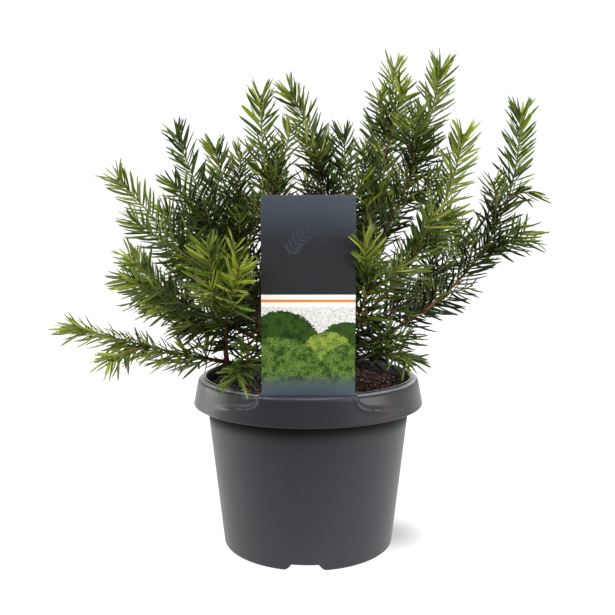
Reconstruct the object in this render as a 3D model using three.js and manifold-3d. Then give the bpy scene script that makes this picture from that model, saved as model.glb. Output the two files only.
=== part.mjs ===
// A young English yew, the spreading kind, in a round 19 cm nursery pot with its plant label.
//
// Millimetres, +Z up. The origin is the centre of the pot's flat foot. -Y is the front, where the label
// stands, and +X is to the right of it. Places on the plant are polar: heading in degrees (0 is +X, 90 is +Y),
// reach from the pot's axis, and height above the foot.
//
// The pot is one moulded shell: a tapered wall, a conical collar with a raised pad in front, a foot ring with
// four drainage notches and a round foot in the middle. Soil fills it to just under the rim. A short trunk
// stands on the soil, boughs leave it at different heights, and each bough ends at a mass of needles. A mass
// is one leafy stem with its side shoots and twigs, and the needles that are fused to them.

import * as THREE from "three";
import { mergeVertices } from "three/addons/utils/BufferGeometryUtils.js";
import Module from "manifold-3d";

const wasm = await Module();
wasm.setup();

// ---------------------------------------------------------------- driving dimensions

const GAP = 0.3; // clearance between neighbouring pieces
const DEGREES = Math.PI / 180;
const GOLDEN_ANGLE = 137.5 * DEGREES;

const POT = {
  height: 142, // foot to the top of the rim
  footRadius: 70.7, // outside of the wall at the foot
  mouthRadius: 84.4, // inside of the rim
  collarRadius: 95, // outside of the collar at its lower edge
  collarTopRadius: 91.6, // outside of the collar under its crest
  collarEdge: 119.6, // height of the collar's lower edge
  wall: 1.8,
  channel: 6, // height of the drainage channel under the floor
  middleFoot: 48, // radius of the round foot in the middle
  segments: 48,
};
const WALL_SLOPE = (86.6 - POT.footRadius) / POT.height;

const NOTCH = { count: 4, bottomWidth: 33, topWidth: 21, height: 5.5, depth: 10 };
const DRAIN = { radius: 5, at: 60.5, sides: 12 }; // holes in the channel's roof, one behind each notch
const PAD = { radius: 94.8, bottom: 125, topHalfWidth: 37, bottomHalfWidth: 46 };
const LABEL = { width: 68.4, thickness: 0.8, bottom: 128, top: 287.5, y: -86, corner: 1.5 };
const SOIL = { top: 134, edge: 132.5, flat: 14, bump: 1.4, rings: 6, segments: 24 };

const TRUNK = {
  foot: SOIL.top + GAP,
  top: 176,
  flareRadius: 10,
  flareHeight: 9,
  radius: 6.2, // above the flare
  topRadius: 4.6,
  lean: [-3, 1], // how far the top stands off the pot's axis, in X and Y
  sides: 10,
  rings: 9,
};
const BOUGH = { rootRadius: 2.3, tipRadius: 1.6, sides: 5, rings: 4 };
const TWIG = { radius: 1.3, endRadius: 0.8, length: [24, 42], spread: 42 * DEGREES };
const NEEDLE = { length: 25, spacing: 7.8, spread: 58 * DEGREES, stray: 24 * DEGREES, halfWidth: 1.7 };
const END_NEEDLE = 13; // length of the needle that ends a stem
const STEM_CLEARANCE = 1; // kept round a stem, for the roots of its needles

// Each limb starts on the trunk at a height, or on another limb's bough at a share of its length.
// `bend` pulls its curve on the way to `tip`, and `wood` is the share that is bare bough.
// `sides` are side shoots: the share of the limb where they leave it, and their own tip.
const LIMBS = [
  { name: "low_left", on: "trunk", at: 143, bend: [197, 100, 156], tip: [199, 200, 194], wood: 0.4,
    sides: [[0.42, [205, 91, 181]], [0.5, [209, 104, 175]], [0.66, [205, 175, 159]]], twigs: 0 },
  { name: "left_mid", on: "trunk", at: 149, bend: [203, 84, 196], tip: [206, 159, 231], wood: 0.36,
    sides: [[0.44, [202, 108, 172]], [0.5, [201, 140, 202]], [0.66, [202, 154, 252]]], twigs: 1 },
  { name: "left_high", on: "trunk", at: 155, bend: [206, 37, 169], tip: [191, 165, 317], wood: 0.4,
    sides: [[0.52, [205, 152, 276]], [0.6, [186, 121, 287]]], twigs: 2 },
  { name: "left_tall", on: "trunk", at: 161, bend: [166, 47, 163], tip: [180, 114, 358], wood: 0.38,
    sides: [[0.62, [199, 116, 305]], [0.55, [168, 87, 312]]], twigs: 3 },
  { name: "left_inner", on: "trunk", at: 167, bend: [153, 65, 223], tip: [163, 85, 343], wood: 0.36,
    sides: [[0.55, [165, 56, 336]]], twigs: 2 },
  { name: "front_left", on: "low_left", at: 0.86, bend: [222, 90, 196], tip: [245, 108, 244], wood: 0.34,
    sides: [[0.4, [216, 89, 182]]], twigs: 3 },
  { name: "left_front", on: "trunk", at: 155, bend: [217, 92, 190], tip: [225, 106, 259], wood: 0.4,
    sides: [[0.62, [211, 84, 258]]], twigs: 2 },
  { name: "low_droop", on: "low_left", at: 0.55, bend: [233, 76, 168], tip: [235, 99, 147], wood: 0.38,
    sides: [], twigs: 1 },
  { name: "centre_left", on: "trunk", at: 171, bend: [184, 43, 300], tip: [195, 38, 376], wood: 0.3,
    sides: [[0.36, [169, 11, 354]]], twigs: 1 },
  { name: "centre", on: "trunk", at: 176, bend: [51, 62, 303], tip: [154, 23, 382], wood: 0.3,
    sides: [], twigs: 3 },
  { name: "centre_right", on: "trunk", at: 167, bend: [70, 56, 234], tip: [79, 57, 352], wood: 0.34,
    sides: [], twigs: 3 },
  { name: "right_slim", on: "trunk", at: 172, bend: [20, 44, 252], tip: [30, 32, 352], wood: 0.34,
    sides: [], twigs: 2 },
  { name: "right_inner", on: "trunk", at: 162, bend: [36, 96, 264], tip: [44, 79, 363], wood: 0.36,
    sides: [[0.5, [43, 61, 341]]], twigs: 3 },
  { name: "right_tall", on: "trunk", at: 167, bend: [10, 64, 198], tip: [0, 70, 410], wood: 0.32,
    sides: [[0.76, [349, 78, 383]]], twigs: 3 },
  { name: "right_second", on: "trunk", at: 162, bend: [350, 92, 278], tip: [346, 107, 396], wood: 0.32,
    sides: [[0.6, [326, 97, 357]]], twigs: 3 },
  { name: "right_mid", on: "trunk", at: 155, bend: [337, 117, 230], tip: [341, 126, 345], wood: 0.28,
    sides: [[0.46, [328, 114, 284]], [0.52, [348, 123, 283]]], twigs: 1 },
  { name: "far_right", on: "trunk", at: 149, bend: [357, 181, 204], tip: [357, 169, 366], wood: 0.22,
    sides: [[0.74, [353, 192, 287]], [0.62, [351, 146, 310]], [0.54, [350, 177, 269]], [0.48, [350, 132, 273]]],
    twigs: 2 },
  { name: "front_right", on: "trunk", at: 149, bend: [312, 92, 196], tip: [292, 97, 262], wood: 0.4,
    sides: [[0.62, [306, 90, 240]]], twigs: 2 },
  { name: "low_right", on: "trunk", at: 143, bend: [333, 74, 172], tip: [319, 108, 163], wood: 0.36,
    sides: [[0.5, [312, 84, 194]], [0.62, [332, 94, 172]]], twigs: 1 },
  { name: "front_centre", on: "trunk", at: 161, bend: [268, 62, 186], tip: [268, 66, 262], wood: 0.4,
    sides: [], twigs: 2 },
  backLimb("back_far_left", 143, 162, 164, 238),
  backLimb("back_low", 143, 92, 158, 206),
  backLimb("back_near", 146, 120, 104, 214),
  backLimb("back_far_right", 149, 26, 158, 256),
  backLimb("back_left", 149, 138, 138, 284),
  backLimb("back_mid", 155, 84, 128, 288),
  backLimb("back_right", 155, 60, 134, 306),
  backLimb("back_inner", 161, 108, 98, 328),
];

/** A limb at the back of the crown: it leaves the trunk at height `at`, and has one side shoot beside it. */
function backLimb(name, at, heading, reach, height) {
  const bend = [heading + 2, 0.76 * reach, mix(at, height, 0.42)];
  const side = [0.6, [heading + 12, 0.96 * reach, 0.88 * height]];
  return { name, on: "trunk", at, bend, tip: [heading, reach, height], wood: 0.33, sides: [side], twigs: 3 };
}

// ---------------------------------------------------------------- colours

const finish = (name, color, roughness) =>
  new THREE.MeshStandardMaterial({ name, color, roughness, metalness: 0 });
const MATERIALS = {
  pot: finish("pot_plastic", 0x46484b, 0.5),
  soil: finish("potting_soil", 0x2b1c14, 0.95),
  label: finish("label_card", 0x3a3f47, 0.45),
  bark: finish("bark", 0x6b4a32, 0.85),
  needles: finish("needles", 0x35561f, 0.55),
};

// ---------------------------------------------------------------- solids from three.js geometry

/** A closed three.js geometry as a manifold-3d solid. */
function solidOf(geometry) {
  const bare = geometry.clone();
  for (const name of Object.keys(bare.attributes)) if (name !== "position") bare.deleteAttribute(name);
  const merged = mergeVertices(bare, 1e-4);
  return new wasm.Manifold(
    new wasm.Mesh({
      numProp: 3,
      vertProperties: new Float32Array(merged.attributes.position.array),
      triVerts: new Uint32Array(merged.index.array),
    }),
  );
}

/** A manifold-3d solid as a three.js geometry with flat faces. */
function geometryOf(solid) {
  const mesh = solid.getMesh();
  const geometry = new THREE.BufferGeometry()
    .setAttribute("position", new THREE.BufferAttribute(new Float32Array(mesh.vertProperties), 3))
    .setIndex(new THREE.BufferAttribute(new Uint32Array(mesh.triVerts), 1))
    .toNonIndexed();
  geometry.computeVertexNormals();
  return geometry;
}

/** A profile of [radius, height] pairs turned about the Z axis. */
function turned(profile, segments) {
  const points = profile.map(([radius, height]) => new THREE.Vector2(radius, height));
  return solidOf(new THREE.LatheGeometry(points, segments).rotateX(Math.PI / 2));
}

/** A flat outline of [x, z] pairs, drawn in the XZ plane and extruded along Y from `front` to `back`. */
function slab(outline, front, back) {
  const shape = new THREE.Shape(outline.map(([x, z]) => new THREE.Vector2(x, z)));
  const geometry = new THREE.ExtrudeGeometry(shape, { depth: back - front, bevelEnabled: false });
  return solidOf(geometry.rotateX(Math.PI / 2).translate(0, back, 0));
}

/** A closed tube along a curve from share `from` to share `to`, its radius given along its own length. */
function taperedTube(curve, from, to, radiusAt, sides, rings) {
  const geometry = new THREE.CylinderGeometry(1, 1, 1, sides, rings);
  const place = geometry.attributes.position;
  const vertex = new THREE.Vector3();
  for (let i = 0; i < place.count; i++) {
    vertex.fromBufferAttribute(place, i);
    const share = vertex.y + 0.5;
    const frame = frameAt(curve, from + (to - from) * share);
    const radius = radiusAt(share);
    frame.origin.addScaledVector(frame.side, vertex.x * radius).addScaledVector(frame.up, vertex.z * radius);
    place.setXYZ(i, frame.origin.x, frame.origin.y, frame.origin.z);
  }
  return solidOf(geometry);
}

/** The point, direction and two cross directions of a curve at a share of its parameter. */
function frameAt(curve, share) {
  const along = curve.getTangent(share);
  const side = new THREE.Vector3().crossVectors(along, SIDE_GUIDE).normalize();
  const up = new THREE.Vector3().crossVectors(side, along);
  return { origin: curve.getPoint(share), along, side, up };
}
const SIDE_GUIDE = new THREE.Vector3(0.31, 0.93, 0.2).normalize(); // no limb runs along it

/** The largest body of a solid, so that a scrap that a cut left loose is dropped. */
const mainBody = (solid) => solid.decompose().sort((a, b) => b.volume() - a.volume())[0];

// ---------------------------------------------------------------- small helpers

/** A place given as heading, reach and height. */
const polar = ([heading, reach, height]) =>
  new THREE.Vector3(reach * Math.cos(heading * DEGREES), reach * Math.sin(heading * DEGREES), height);

/** A seeded stream of numbers from 0 to 1. */
function randomStream(seed) {
  let state = seed * 7919 + 17;
  return () => (state = (state * 16807) % 2147483647) / 2147483647;
}

/** The value at a share of the way between two others. */
function mix(from, to, share) {
  return from + (to - from) * share;
}

/** The shortest distance between segments ab and cd. */
function segmentDistance(a, b, c, d) {
  const first = b.clone().sub(a);
  const second = d.clone().sub(c);
  const between = a.clone().sub(c);
  const aa = first.dot(first);
  const bb = second.dot(second);
  const ab = first.dot(second);
  const clamp = (value) => Math.min(1, Math.max(0, value));
  const spread = aa * bb - ab * ab;
  let s = spread > 1e-9 ? clamp((ab * second.dot(between) - bb * first.dot(between)) / spread) : 0;
  const t = clamp((ab * s + second.dot(between)) / bb);
  s = clamp((ab * t - first.dot(between)) / aa);
  return between.addScaledVector(first, s).addScaledVector(second, -t).length();
}

// ---------------------------------------------------------------- pot, soil and label

/** Outside radius of the pot's wall at a height. */
const wallRadius = (height) => POT.footRadius + WALL_SLOPE * height;

/** The pot: one turned shell with its pad, label slot, notches and drain holes. */
function makePot() {
  const floor = POT.channel + POT.wall;
  const inside = (height) => wallRadius(height) - POT.wall;
  const { height: top, collarRadius: out, collarTopRadius: band, collarEdge: edge } = POT;
  const shell = turned(
    [
      [0, 0], [POT.middleFoot, 0], [POT.middleFoot + 4, POT.channel], [inside(POT.channel), POT.channel],
      [inside(0), 0], [wallRadius(0) - 1, 0], [wallRadius(2), 2],
      [wallRadius(top - 9), top - 9], [band - 2, top - 8], [out - 1.8, edge], // under the collar
      [out - 0.4, edge], [out, edge + 2.4], // its lower edge
      [band, top - 5], [band - 1.6, top - 1.4], [POT.mouthRadius + 3, top], [POT.mouthRadius, top - 2],
      [inside(floor), floor], [POT.middleFoot + 5, floor], [POT.middleFoot + 1, POT.wall], [0, POT.wall],
      [0, 0],
    ],
    POT.segments,
  );
  return shell.add(makePad()).subtract(labelSlot()).subtract(footCuts());
}

/** The raised pad on the front of the collar that the label stands in. */
function makePad() {
  const root = POT.mouthRadius + 0.3; // inside the wall, so that the pad grows out of it
  const { radius, bottom, topHalfWidth, bottomHalfWidth } = PAD;
  const top = POT.height;
  const ring = turned(
    [
      [root, bottom], [radius - 1, bottom], [radius, bottom - 1], [radius, top - 6],
      [radius - 1, top - 2.6], [radius - 3.4, top - 0.6], [root + 2, top - 0.2], [root, top - 2],
      [root, bottom],
    ],
    POT.segments,
  );
  const face = [
    [-bottomHalfWidth, bottom - 2], [bottomHalfWidth, bottom - 2], [topHalfWidth + 3, bottom + 3],
    [topHalfWidth, bottom + 9], [topHalfWidth, top + 1], [-topHalfWidth, top + 1],
    [-topHalfWidth, bottom + 9], [-topHalfWidth - 3, bottom + 3],
  ];
  return ring.intersect(slab(face, -POT.collarRadius - 1, 0));
}

/** The slot in the pad, with clearance all round the label. */
function labelSlot() {
  const half = LABEL.width / 2 + GAP;
  const deep = LABEL.bottom - GAP;
  const wide = LABEL.thickness / 2 + GAP;
  const outline = [[-half, deep], [half, deep], [half, POT.height + 5], [-half, POT.height + 5]];
  return slab(outline, LABEL.y - wide, LABEL.y + wide);
}

/** Everything cut from the foot: notches through its ring and drain holes through the channel's roof. */
function footCuts() {
  const cuts = [];
  for (let i = 0; i < NOTCH.count; i++) {
    const { bottomWidth, topWidth, height } = NOTCH;
    const spread = (bottomWidth - topWidth) / 2 / height; // how much wider a step down makes it, on each side
    const low = bottomWidth / 2 + spread;
    const outline = [[-low, -1], [low, -1], [topWidth / 2, height], [-topWidth / 2, height]];
    const hole = new THREE.CylinderGeometry(DRAIN.radius, DRAIN.radius, 2 * POT.channel, DRAIN.sides);
    hole.rotateX(Math.PI / 2).translate(0, -DRAIN.at, POT.channel + 1);
    const turn = (solid) => solid.rotate([0, 0, (i * 360) / NOTCH.count]);
    const front = -POT.footRadius - 2;
    cuts.push(turn(slab(outline, front, front + NOTCH.depth)), turn(solidOf(hole)));
  }
  return wasm.Manifold.union(cuts);
}

/** The soil: it fills the pot, clear of the wall, and its top is flat under the trunk and rough round it. */
function makeSoil() {
  const floor = POT.channel + POT.wall + GAP;
  const wallAt = (height) => wallRadius(height) - POT.wall - GAP;
  const profile = [
    [0, POT.wall + GAP], [POT.middleFoot + 0.5, POT.wall + GAP], [POT.middleFoot + 4.5, floor],
    [wallAt(floor), floor], [wallAt(SOIL.edge) - 0.4, SOIL.edge],
  ];
  for (let ring = 1; ring < SOIL.rings; ring++) {
    const radius = mix(wallAt(SOIL.edge), SOIL.flat, ring / SOIL.rings);
    profile.push([radius, mix(SOIL.edge, SOIL.top, ring / SOIL.rings)]);
  }
  profile.push([SOIL.flat, SOIL.top], [0, SOIL.top], [0, POT.wall + GAP]);
  const points = profile.map(([radius, height]) => new THREE.Vector2(radius, height));
  const geometry = new THREE.LatheGeometry(points, SOIL.segments).rotateX(Math.PI / 2);
  const place = geometry.attributes.position;
  for (let i = 0; i < place.count; i++) {
    const radius = Math.hypot(place.getX(i), place.getY(i));
    const rough = place.getZ(i) > SOIL.edge && radius > SOIL.flat + 1 && radius < POT.mouthRadius - 5;
    const wave = Math.sin(place.getX(i) * 0.31 + 1.7) * Math.cos(place.getY(i) * 0.27 - 0.6);
    if (rough) place.setZ(i, place.getZ(i) + SOIL.bump * wave);
  }
  return solidOf(geometry);
}

/** The label: a thin upright card whose lower end stands in the pad's slot. */
function makeLabel() {
  const half = LABEL.width / 2;
  const { corner, bottom, top } = LABEL;
  const outline = [
    [-half, bottom], [half, bottom], [half, top - corner], [half - 0.3 * corner, top - 0.3 * corner],
    [half - corner, top], [-half + corner, top], [-half + 0.3 * corner, top - 0.3 * corner],
    [-half, top - corner],
  ];
  return slab(outline, LABEL.y - LABEL.thickness / 2, LABEL.y + LABEL.thickness / 2);
}

// ---------------------------------------------------------------- trunk and boughs

const trunkCurve = new THREE.LineCurve3(
  new THREE.Vector3(0, 0, TRUNK.foot),
  new THREE.Vector3(TRUNK.lean[0], TRUNK.lean[1], TRUNK.top),
);

/** The trunk, `extra` thicker all round: a flared foot on the soil, then a gentle taper to the fork. */
function makeTrunk(extra = 0) {
  const length = TRUNK.top - TRUNK.foot;
  const radiusAt = (share) => {
    const flare = Math.max(0, 1 - (share * length) / TRUNK.flareHeight) ** 2;
    return mix(TRUNK.radius, TRUNK.topRadius, share) + (TRUNK.flareRadius - TRUNK.radius) * flare + extra;
  };
  const upright = new THREE.CylinderGeometry(1, 1, 1, TRUNK.sides, TRUNK.rings);
  const place = upright.attributes.position;
  for (let i = 0; i < place.count; i++) {
    const share = place.getY(i) + 0.5;
    const centre = trunkCurve.getPoint(share);
    const radius = radiusAt(share);
    const top = share > 0.999 ? extra : 0;
    place.setXYZ(i, centre.x + place.getX(i) * radius, centre.y - place.getZ(i) * radius, centre.z + top);
  }
  return solidOf(upright);
}

/** Radius of a limb's bare bough at a share of the bough. */
const boughRadius = (share) => mix(BOUGH.rootRadius, BOUGH.tipRadius, share);

/** Every limb's curve, with its root on its parent's axis. */
function growCurves() {
  const curves = new Map();
  for (const limb of LIMBS) {
    const parent = LIMBS.find((other) => other.name === limb.on);
    const root = parent
      ? curves.get(parent.name).getPoint(limb.at * parent.wood)
      : trunkCurve.getPoint((limb.at - TRUNK.foot) / (TRUNK.top - TRUNK.foot));
    curves.set(limb.name, new THREE.QuadraticBezierCurve3(root, polar(limb.bend), polar(limb.tip)));
  }
  return curves;
}

/** A limb's bough, `extra` thicker all round: from its root to where its mass of needles begins. */
const boughTube = (curve, limb, extra = 0) =>
  taperedTube(curve, 0, limb.wood, (share) => boughRadius(share) + extra, BOUGH.sides, BOUGH.rings);

// ---------------------------------------------------------------- masses of needles

/** Whether a point is inside, or close to, the pot, the soil or the label. */
function meetsPot(point) {
  const radius = Math.hypot(point.x, point.y);
  const nearRim = point.z < POT.height + 3 && radius > POT.mouthRadius - 3;
  const overRim = nearRim && (radius < POT.collarRadius + 2 || point.z < POT.height - 12);
  const nearLabel = Math.abs(point.y - LABEL.y) < 3.5 && Math.abs(point.x) < LABEL.width / 2 + 3;
  return overRim || point.z < SOIL.top + 4 || (nearLabel && point.z < LABEL.top + 3);
}

/** The space that is already taken: segments with a radius, each owned by a stem, a bough or the trunk. */
class Space {
  constructor() {
    this.taken = [];
  }

  /** Whether a segment stays clear of the pot and of everything but what `isOwn` says belongs to it. */
  isFree(a, b, radius, isOwn) {
    if ([0.25, 0.5, 0.75, 1].some((share) => meetsPot(a.clone().lerp(b, share)))) return false;
    const isClear = (other) => segmentDistance(a, b, other.a, other.b) > radius + other.radius + GAP;
    return this.taken.every((other) => isOwn(other.owner) || isClear(other));
  }

  take(a, b, radius, owner) {
    this.taken.push({ a, b, radius, owner });
  }

  /** Takes a stretch of a curve as a row of segments. */
  takeCurve(curve, from, to, radius, owner) {
    const steps = 8;
    const at = (i) => curve.getPoint(mix(from, to, i / steps));
    for (let i = 0; i < steps; i++) this.take(at(i), at(i + 1), radius, owner);
  }

  /** Takes a stem and the needle that ends it. */
  takeStem(stem) {
    const { curve, from, to, radius, bare } = stem;
    this.takeCurve(curve, mix(from, to, bare), to, radius + STEM_CLEARANCE, stem);
    this.take(curve.getPoint(to), endNeedleTip(stem), radius, stem);
  }
}

/** Where the needle that ends a stem has its tip. */
const endNeedleTip = ({ curve, to }) => curve.getPoint(to).addScaledVector(curve.getTangent(to), END_NEEDLE);

/** The share of a curve that a length of it, in millimetres, stands for. */
const shareOf = (curve, length) => length / curve.getLength();

/** The direction at an angle round a frame's curve. */
const outwardAt = ({ side, up }, roll) =>
  side.clone().multiplyScalar(Math.cos(roll)).addScaledVector(up, Math.sin(roll));

/** A side shoot's curve: it leaves its limb forwards and bends to its own tip. */
function sideShoot(curve, share, tip) {
  const root = curve.getPoint(share);
  const forwards = curve.getTangent(share).multiplyScalar(0.3 * root.distanceTo(tip));
  const bend = root.clone().add(forwards).lerp(tip, 0.35);
  return new THREE.QuadraticBezierCurve3(root, bend, tip);
}

/** A twig's curve: it leaves its limb sideways at a roll angle and turns forwards and a little upwards. */
function twig(curve, share, roll, length) {
  const frame = frameAt(curve, share);
  const outward = outwardAt(frame, roll);
  const forwards = frame.along.clone().multiplyScalar(length * Math.cos(TWIG.spread));
  const sideways = outward.multiplyScalar(length * Math.sin(TWIG.spread));
  const root = frame.origin;
  const bend = root.clone().addScaledVector(forwards, 0.45).addScaledVector(sideways, 0.55);
  const tip = root.clone().addScaledVector(forwards, 1.1).addScaledVector(sideways, 0.95);
  tip.z += 0.1 * length;
  return new THREE.QuadraticBezierCurve3(root, bend, tip);
}

/** The stems of a limb's mass: its leader, its side shoots and its seeded twigs, which keep to free space. */
function growStems(limb, leader, random, space) {
  const { curve } = leader;
  const stems = [leader];
  const isOwn = (owner) => owner.limb === limb;
  const addShoot = (shoot, radius, to = 1) => {
    const stem = { limb, curve: shoot, from: 0, to, radius, bare: 0.12 };
    const places = [...[0.2, 0.6, 1].map((share) => shoot.getPoint(share * to)), endNeedleTip(stem)];
    const clearance = radius + 2 * STEM_CLEARANCE;
    if (!places.slice(1).every((place, i) => space.isFree(places[i], place, clearance, isOwn))) return;
    stems.push(stem);
    space.takeStem(stem);
  };
  for (const [share, tip] of limb.sides) {
    const side = sideShoot(curve, share, polar(tip));
    addShoot(side, TWIG.radius + 0.1, 1 - shareOf(side, END_NEEDLE));
  }
  for (let i = 0; i < limb.twigs; i++) {
    const share = mix(leader.from, leader.to, 0.04 + (0.5 * (i + random())) / limb.twigs);
    const length = mix(...TWIG.length, random()) * (1.2 - 0.5 * share);
    addShoot(twig(curve, share, i * GOLDEN_ANGLE + 1.5 * random(), length), TWIG.radius);
  }
  return stems;
}

/** One leafy stem: a three-sided tapering core, each face of which is drawn out to the tip of a needle. */
function leafyStem(stem, random, space) {
  const { curve, from, to, radius, bare } = stem;
  const rings = Math.max(3, Math.round(((to - from) * curve.getLength()) / NEEDLE.spacing));
  const sides = 3;
  const core = new THREE.CylinderGeometry(1, 1, 1, sides, rings);
  const { array: quads } = core.index;
  const places = [];
  const vertex = new THREE.Vector3();
  for (let i = 0; i < core.attributes.position.count; i++) {
    vertex.fromBufferAttribute(core.attributes.position, i);
    const share = vertex.y + 0.5;
    const frame = frameAt(curve, mix(from, to, share));
    const width = mix(radius, TWIG.endRadius, share) * Math.hypot(vertex.x, vertex.z);
    const point = frame.origin.addScaledVector(outwardAt(frame, Math.atan2(vertex.z, vertex.x)), width);
    const isEnd = share > 0.999 && width < 0.01; // the middle of the core's end face
    places.push(isEnd ? endNeedleTip(stem) : point);
  }
  const faces = [];
  for (let quad = 0; quad < sides * rings; quad++) {
    const [a, b, d, , c] = quads.slice(6 * quad, 6 * quad + 5);
    const centre = [a, b, c, d].reduce((sum, k) => sum.addScaledVector(places[k], 0.25), new THREE.Vector3());
    const share = 1 - ((quad % rings) + 0.5) / rings;
    const tip = needleTip(frameAt(curve, mix(from, to, share)), centre, share, random);
    const start = centre.clone().lerp(tip, 0.12);
    const grows = share > bare && space.isFree(start, tip, NEEDLE.halfWidth, (owner) => owner === stem);
    if (grows) {
      space.take(start, tip, NEEDLE.halfWidth, stem);
      const apex = places.push(tip) - 1;
      faces.push(a, b, apex, b, c, apex, c, d, apex, d, a, apex);
    } else {
      faces.push(a, b, d, b, c, d);
    }
  }
  faces.push(...quads.slice(6 * sides * rings)); // the two ends
  const geometry = new THREE.BufferGeometry().setFromPoints(places);
  geometry.setIndex(faces);
  return solidOf(geometry);
}

/** Where the needle that grows from `centre` ends: shorter and steeper near the stem's tip. */
function needleTip(frame, centre, share, random) {
  const outward = centre.clone().sub(frame.origin).normalize();
  outward.applyAxisAngle(frame.along, NEEDLE.stray * (2 * random() - 1));
  const spread = NEEDLE.spread * mix(1, 0.5, share ** 3) * mix(0.92, 1.08, random());
  const length = NEEDLE.length * mix(1, 0.75, share ** 4) * mix(0.85, 1.05, random());
  return centre
    .clone()
    .addScaledVector(frame.along, length * Math.cos(spread))
    .addScaledVector(outward, length * Math.sin(spread));
}

/** A mass of needles as one solid: its leafy stems, joined. */
function makeMass(stems, random, space) {
  const solids = stems.map((stem) => leafyStem(stem, random, space));
  return mainBody(wasm.Manifold.union(solids).simplify(0.01));
}

// ---------------------------------------------------------------- assembly

const plant = new THREE.Group();

/** Adds a solid to the plant as one named mesh. */
function addNode(name, solid, material) {
  const mesh = new THREE.Mesh(geometryOf(solid), material);
  mesh.name = name;
  plant.add(mesh);
}

addNode("pot", makePot(), MATERIALS.pot);
addNode("soil", makeSoil(), MATERIALS.soil);
addNode("plant_label", makeLabel(), MATERIALS.label);
addNode("trunk", makeTrunk(), MATERIALS.bark);

const curves = growCurves();
const space = new Space();
space.takeCurve(trunkCurve, 0, 1, TRUNK.radius, { name: "trunk" });
let wood = makeTrunk(GAP); // the trunk and the boughs so far, with clearance: the next bough is cut by them
const leaders = LIMBS.map((limb) => {
  const curve = curves.get(limb.name);
  const bough = mainBody(boughTube(curve, limb).subtract(wood).simplify(0.01));
  wood = wood.add(boughTube(curve, limb, GAP));
  addNode("bough_" + limb.name, bough, MATERIALS.bark);
  space.takeCurve(curve, 0, limb.wood, BOUGH.rootRadius, { name: "bough_" + limb.name });
  const from = limb.wood + shareOf(curve, GAP);
  const leader = { limb, curve, from, to: 1 - shareOf(curve, END_NEEDLE), radius: BOUGH.tipRadius, bare: 0.03 };
  space.takeStem(leader);
  return leader;
});
const stems = LIMBS.map((limb, i) => growStems(limb, leaders[i], randomStream(i + 1), space));
LIMBS.forEach((limb, i) => {
  addNode("mass_" + limb.name, makeMass(stems[i], randomStream(i + 101), space), MATERIALS.needles);
});

export default plant;
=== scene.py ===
"""The looks of a young spreading yew in its nursery pot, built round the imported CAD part.

Every size is in millimetres until a mesh is written, which is in metres. The pot's axis is Z, and the label
stands at the front, towards -Y. The plant grows here by the rule of the part's source: the same limbs, curves
and seeded twigs, which are then carried on to finer spurs and clothed with needles.
"""

import logging
import math
from collections.abc import Callable, Sequence
from dataclasses import dataclass, field
from enum import Enum

import bmesh
import bpy
import numpy as np
from mathutils import Matrix, Vector, noise


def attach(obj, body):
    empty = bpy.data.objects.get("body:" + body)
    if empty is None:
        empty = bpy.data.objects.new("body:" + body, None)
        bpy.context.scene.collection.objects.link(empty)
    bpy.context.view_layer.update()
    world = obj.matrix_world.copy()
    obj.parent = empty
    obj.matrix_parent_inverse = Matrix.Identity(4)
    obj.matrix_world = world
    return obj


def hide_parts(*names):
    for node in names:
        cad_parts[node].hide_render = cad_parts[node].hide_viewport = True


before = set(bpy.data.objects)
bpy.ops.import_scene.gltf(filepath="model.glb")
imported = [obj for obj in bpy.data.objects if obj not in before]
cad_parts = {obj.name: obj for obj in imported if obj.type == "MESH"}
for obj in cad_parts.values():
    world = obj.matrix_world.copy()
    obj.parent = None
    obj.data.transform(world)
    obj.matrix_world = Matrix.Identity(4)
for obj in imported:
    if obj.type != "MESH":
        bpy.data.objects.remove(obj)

MM = 0.001
GAP = 0.3  # clearance between neighbouring pieces
GOLDEN_ANGLE = math.radians(137.5)
FRONT = np.array((0.0, -1.0, 0.0))
SIDE_GUIDE = np.array((0.31, 0.93, 0.2)) / np.linalg.norm((0.31, 0.93, 0.2))  # no limb runs along it

Colour = tuple[float, float, float]
Polar = tuple[float, float, float]  # heading in degrees, reach from the pot's axis, height above the foot
Setting = object  # what a node's socket may be given: a number, a colour, a vector or another node's socket

log = logging.getLogger("yew")


# ---------------- small helpers


def mix(start: float, end: float, share: float) -> float:
    """The value at a share of the way between two others."""
    return start + (end - start) * share


def smooth_share(low: float, high: float, value: float) -> float:
    """How far a value is from low to high, eased at both ends.

    Args:
        low: the value that gives 0.
        high: the value that gives 1.
        value: the value to place.

    Returns:
        A share from 0 to 1.
    """
    share = min(1.0, max(0.0, (value - low) / (high - low)))
    return share * share * (3 - 2 * share)


def place_of(polar: Polar) -> np.ndarray:
    """The place that a heading, a reach and a height stand for."""
    heading = math.radians(polar[0])
    return np.array((polar[1] * math.cos(heading), polar[1] * math.sin(heading), polar[2]))


def unit(vectors: np.ndarray) -> np.ndarray:
    """The same directions with a length of 1."""
    return vectors / np.linalg.norm(vectors, axis=-1, keepdims=True)


class RandomStream:
    """The seeded stream of numbers that the part's source uses."""

    def __init__(self, seed: int) -> None:
        """Starts the stream from a seed."""
        self.state = seed * 7919 + 17

    def next(self) -> float:
        """The next number, from 0 to 1."""
        self.state = self.state * 16807 % 2147483647
        return self.state / 2147483647


# ---------------- materials


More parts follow.
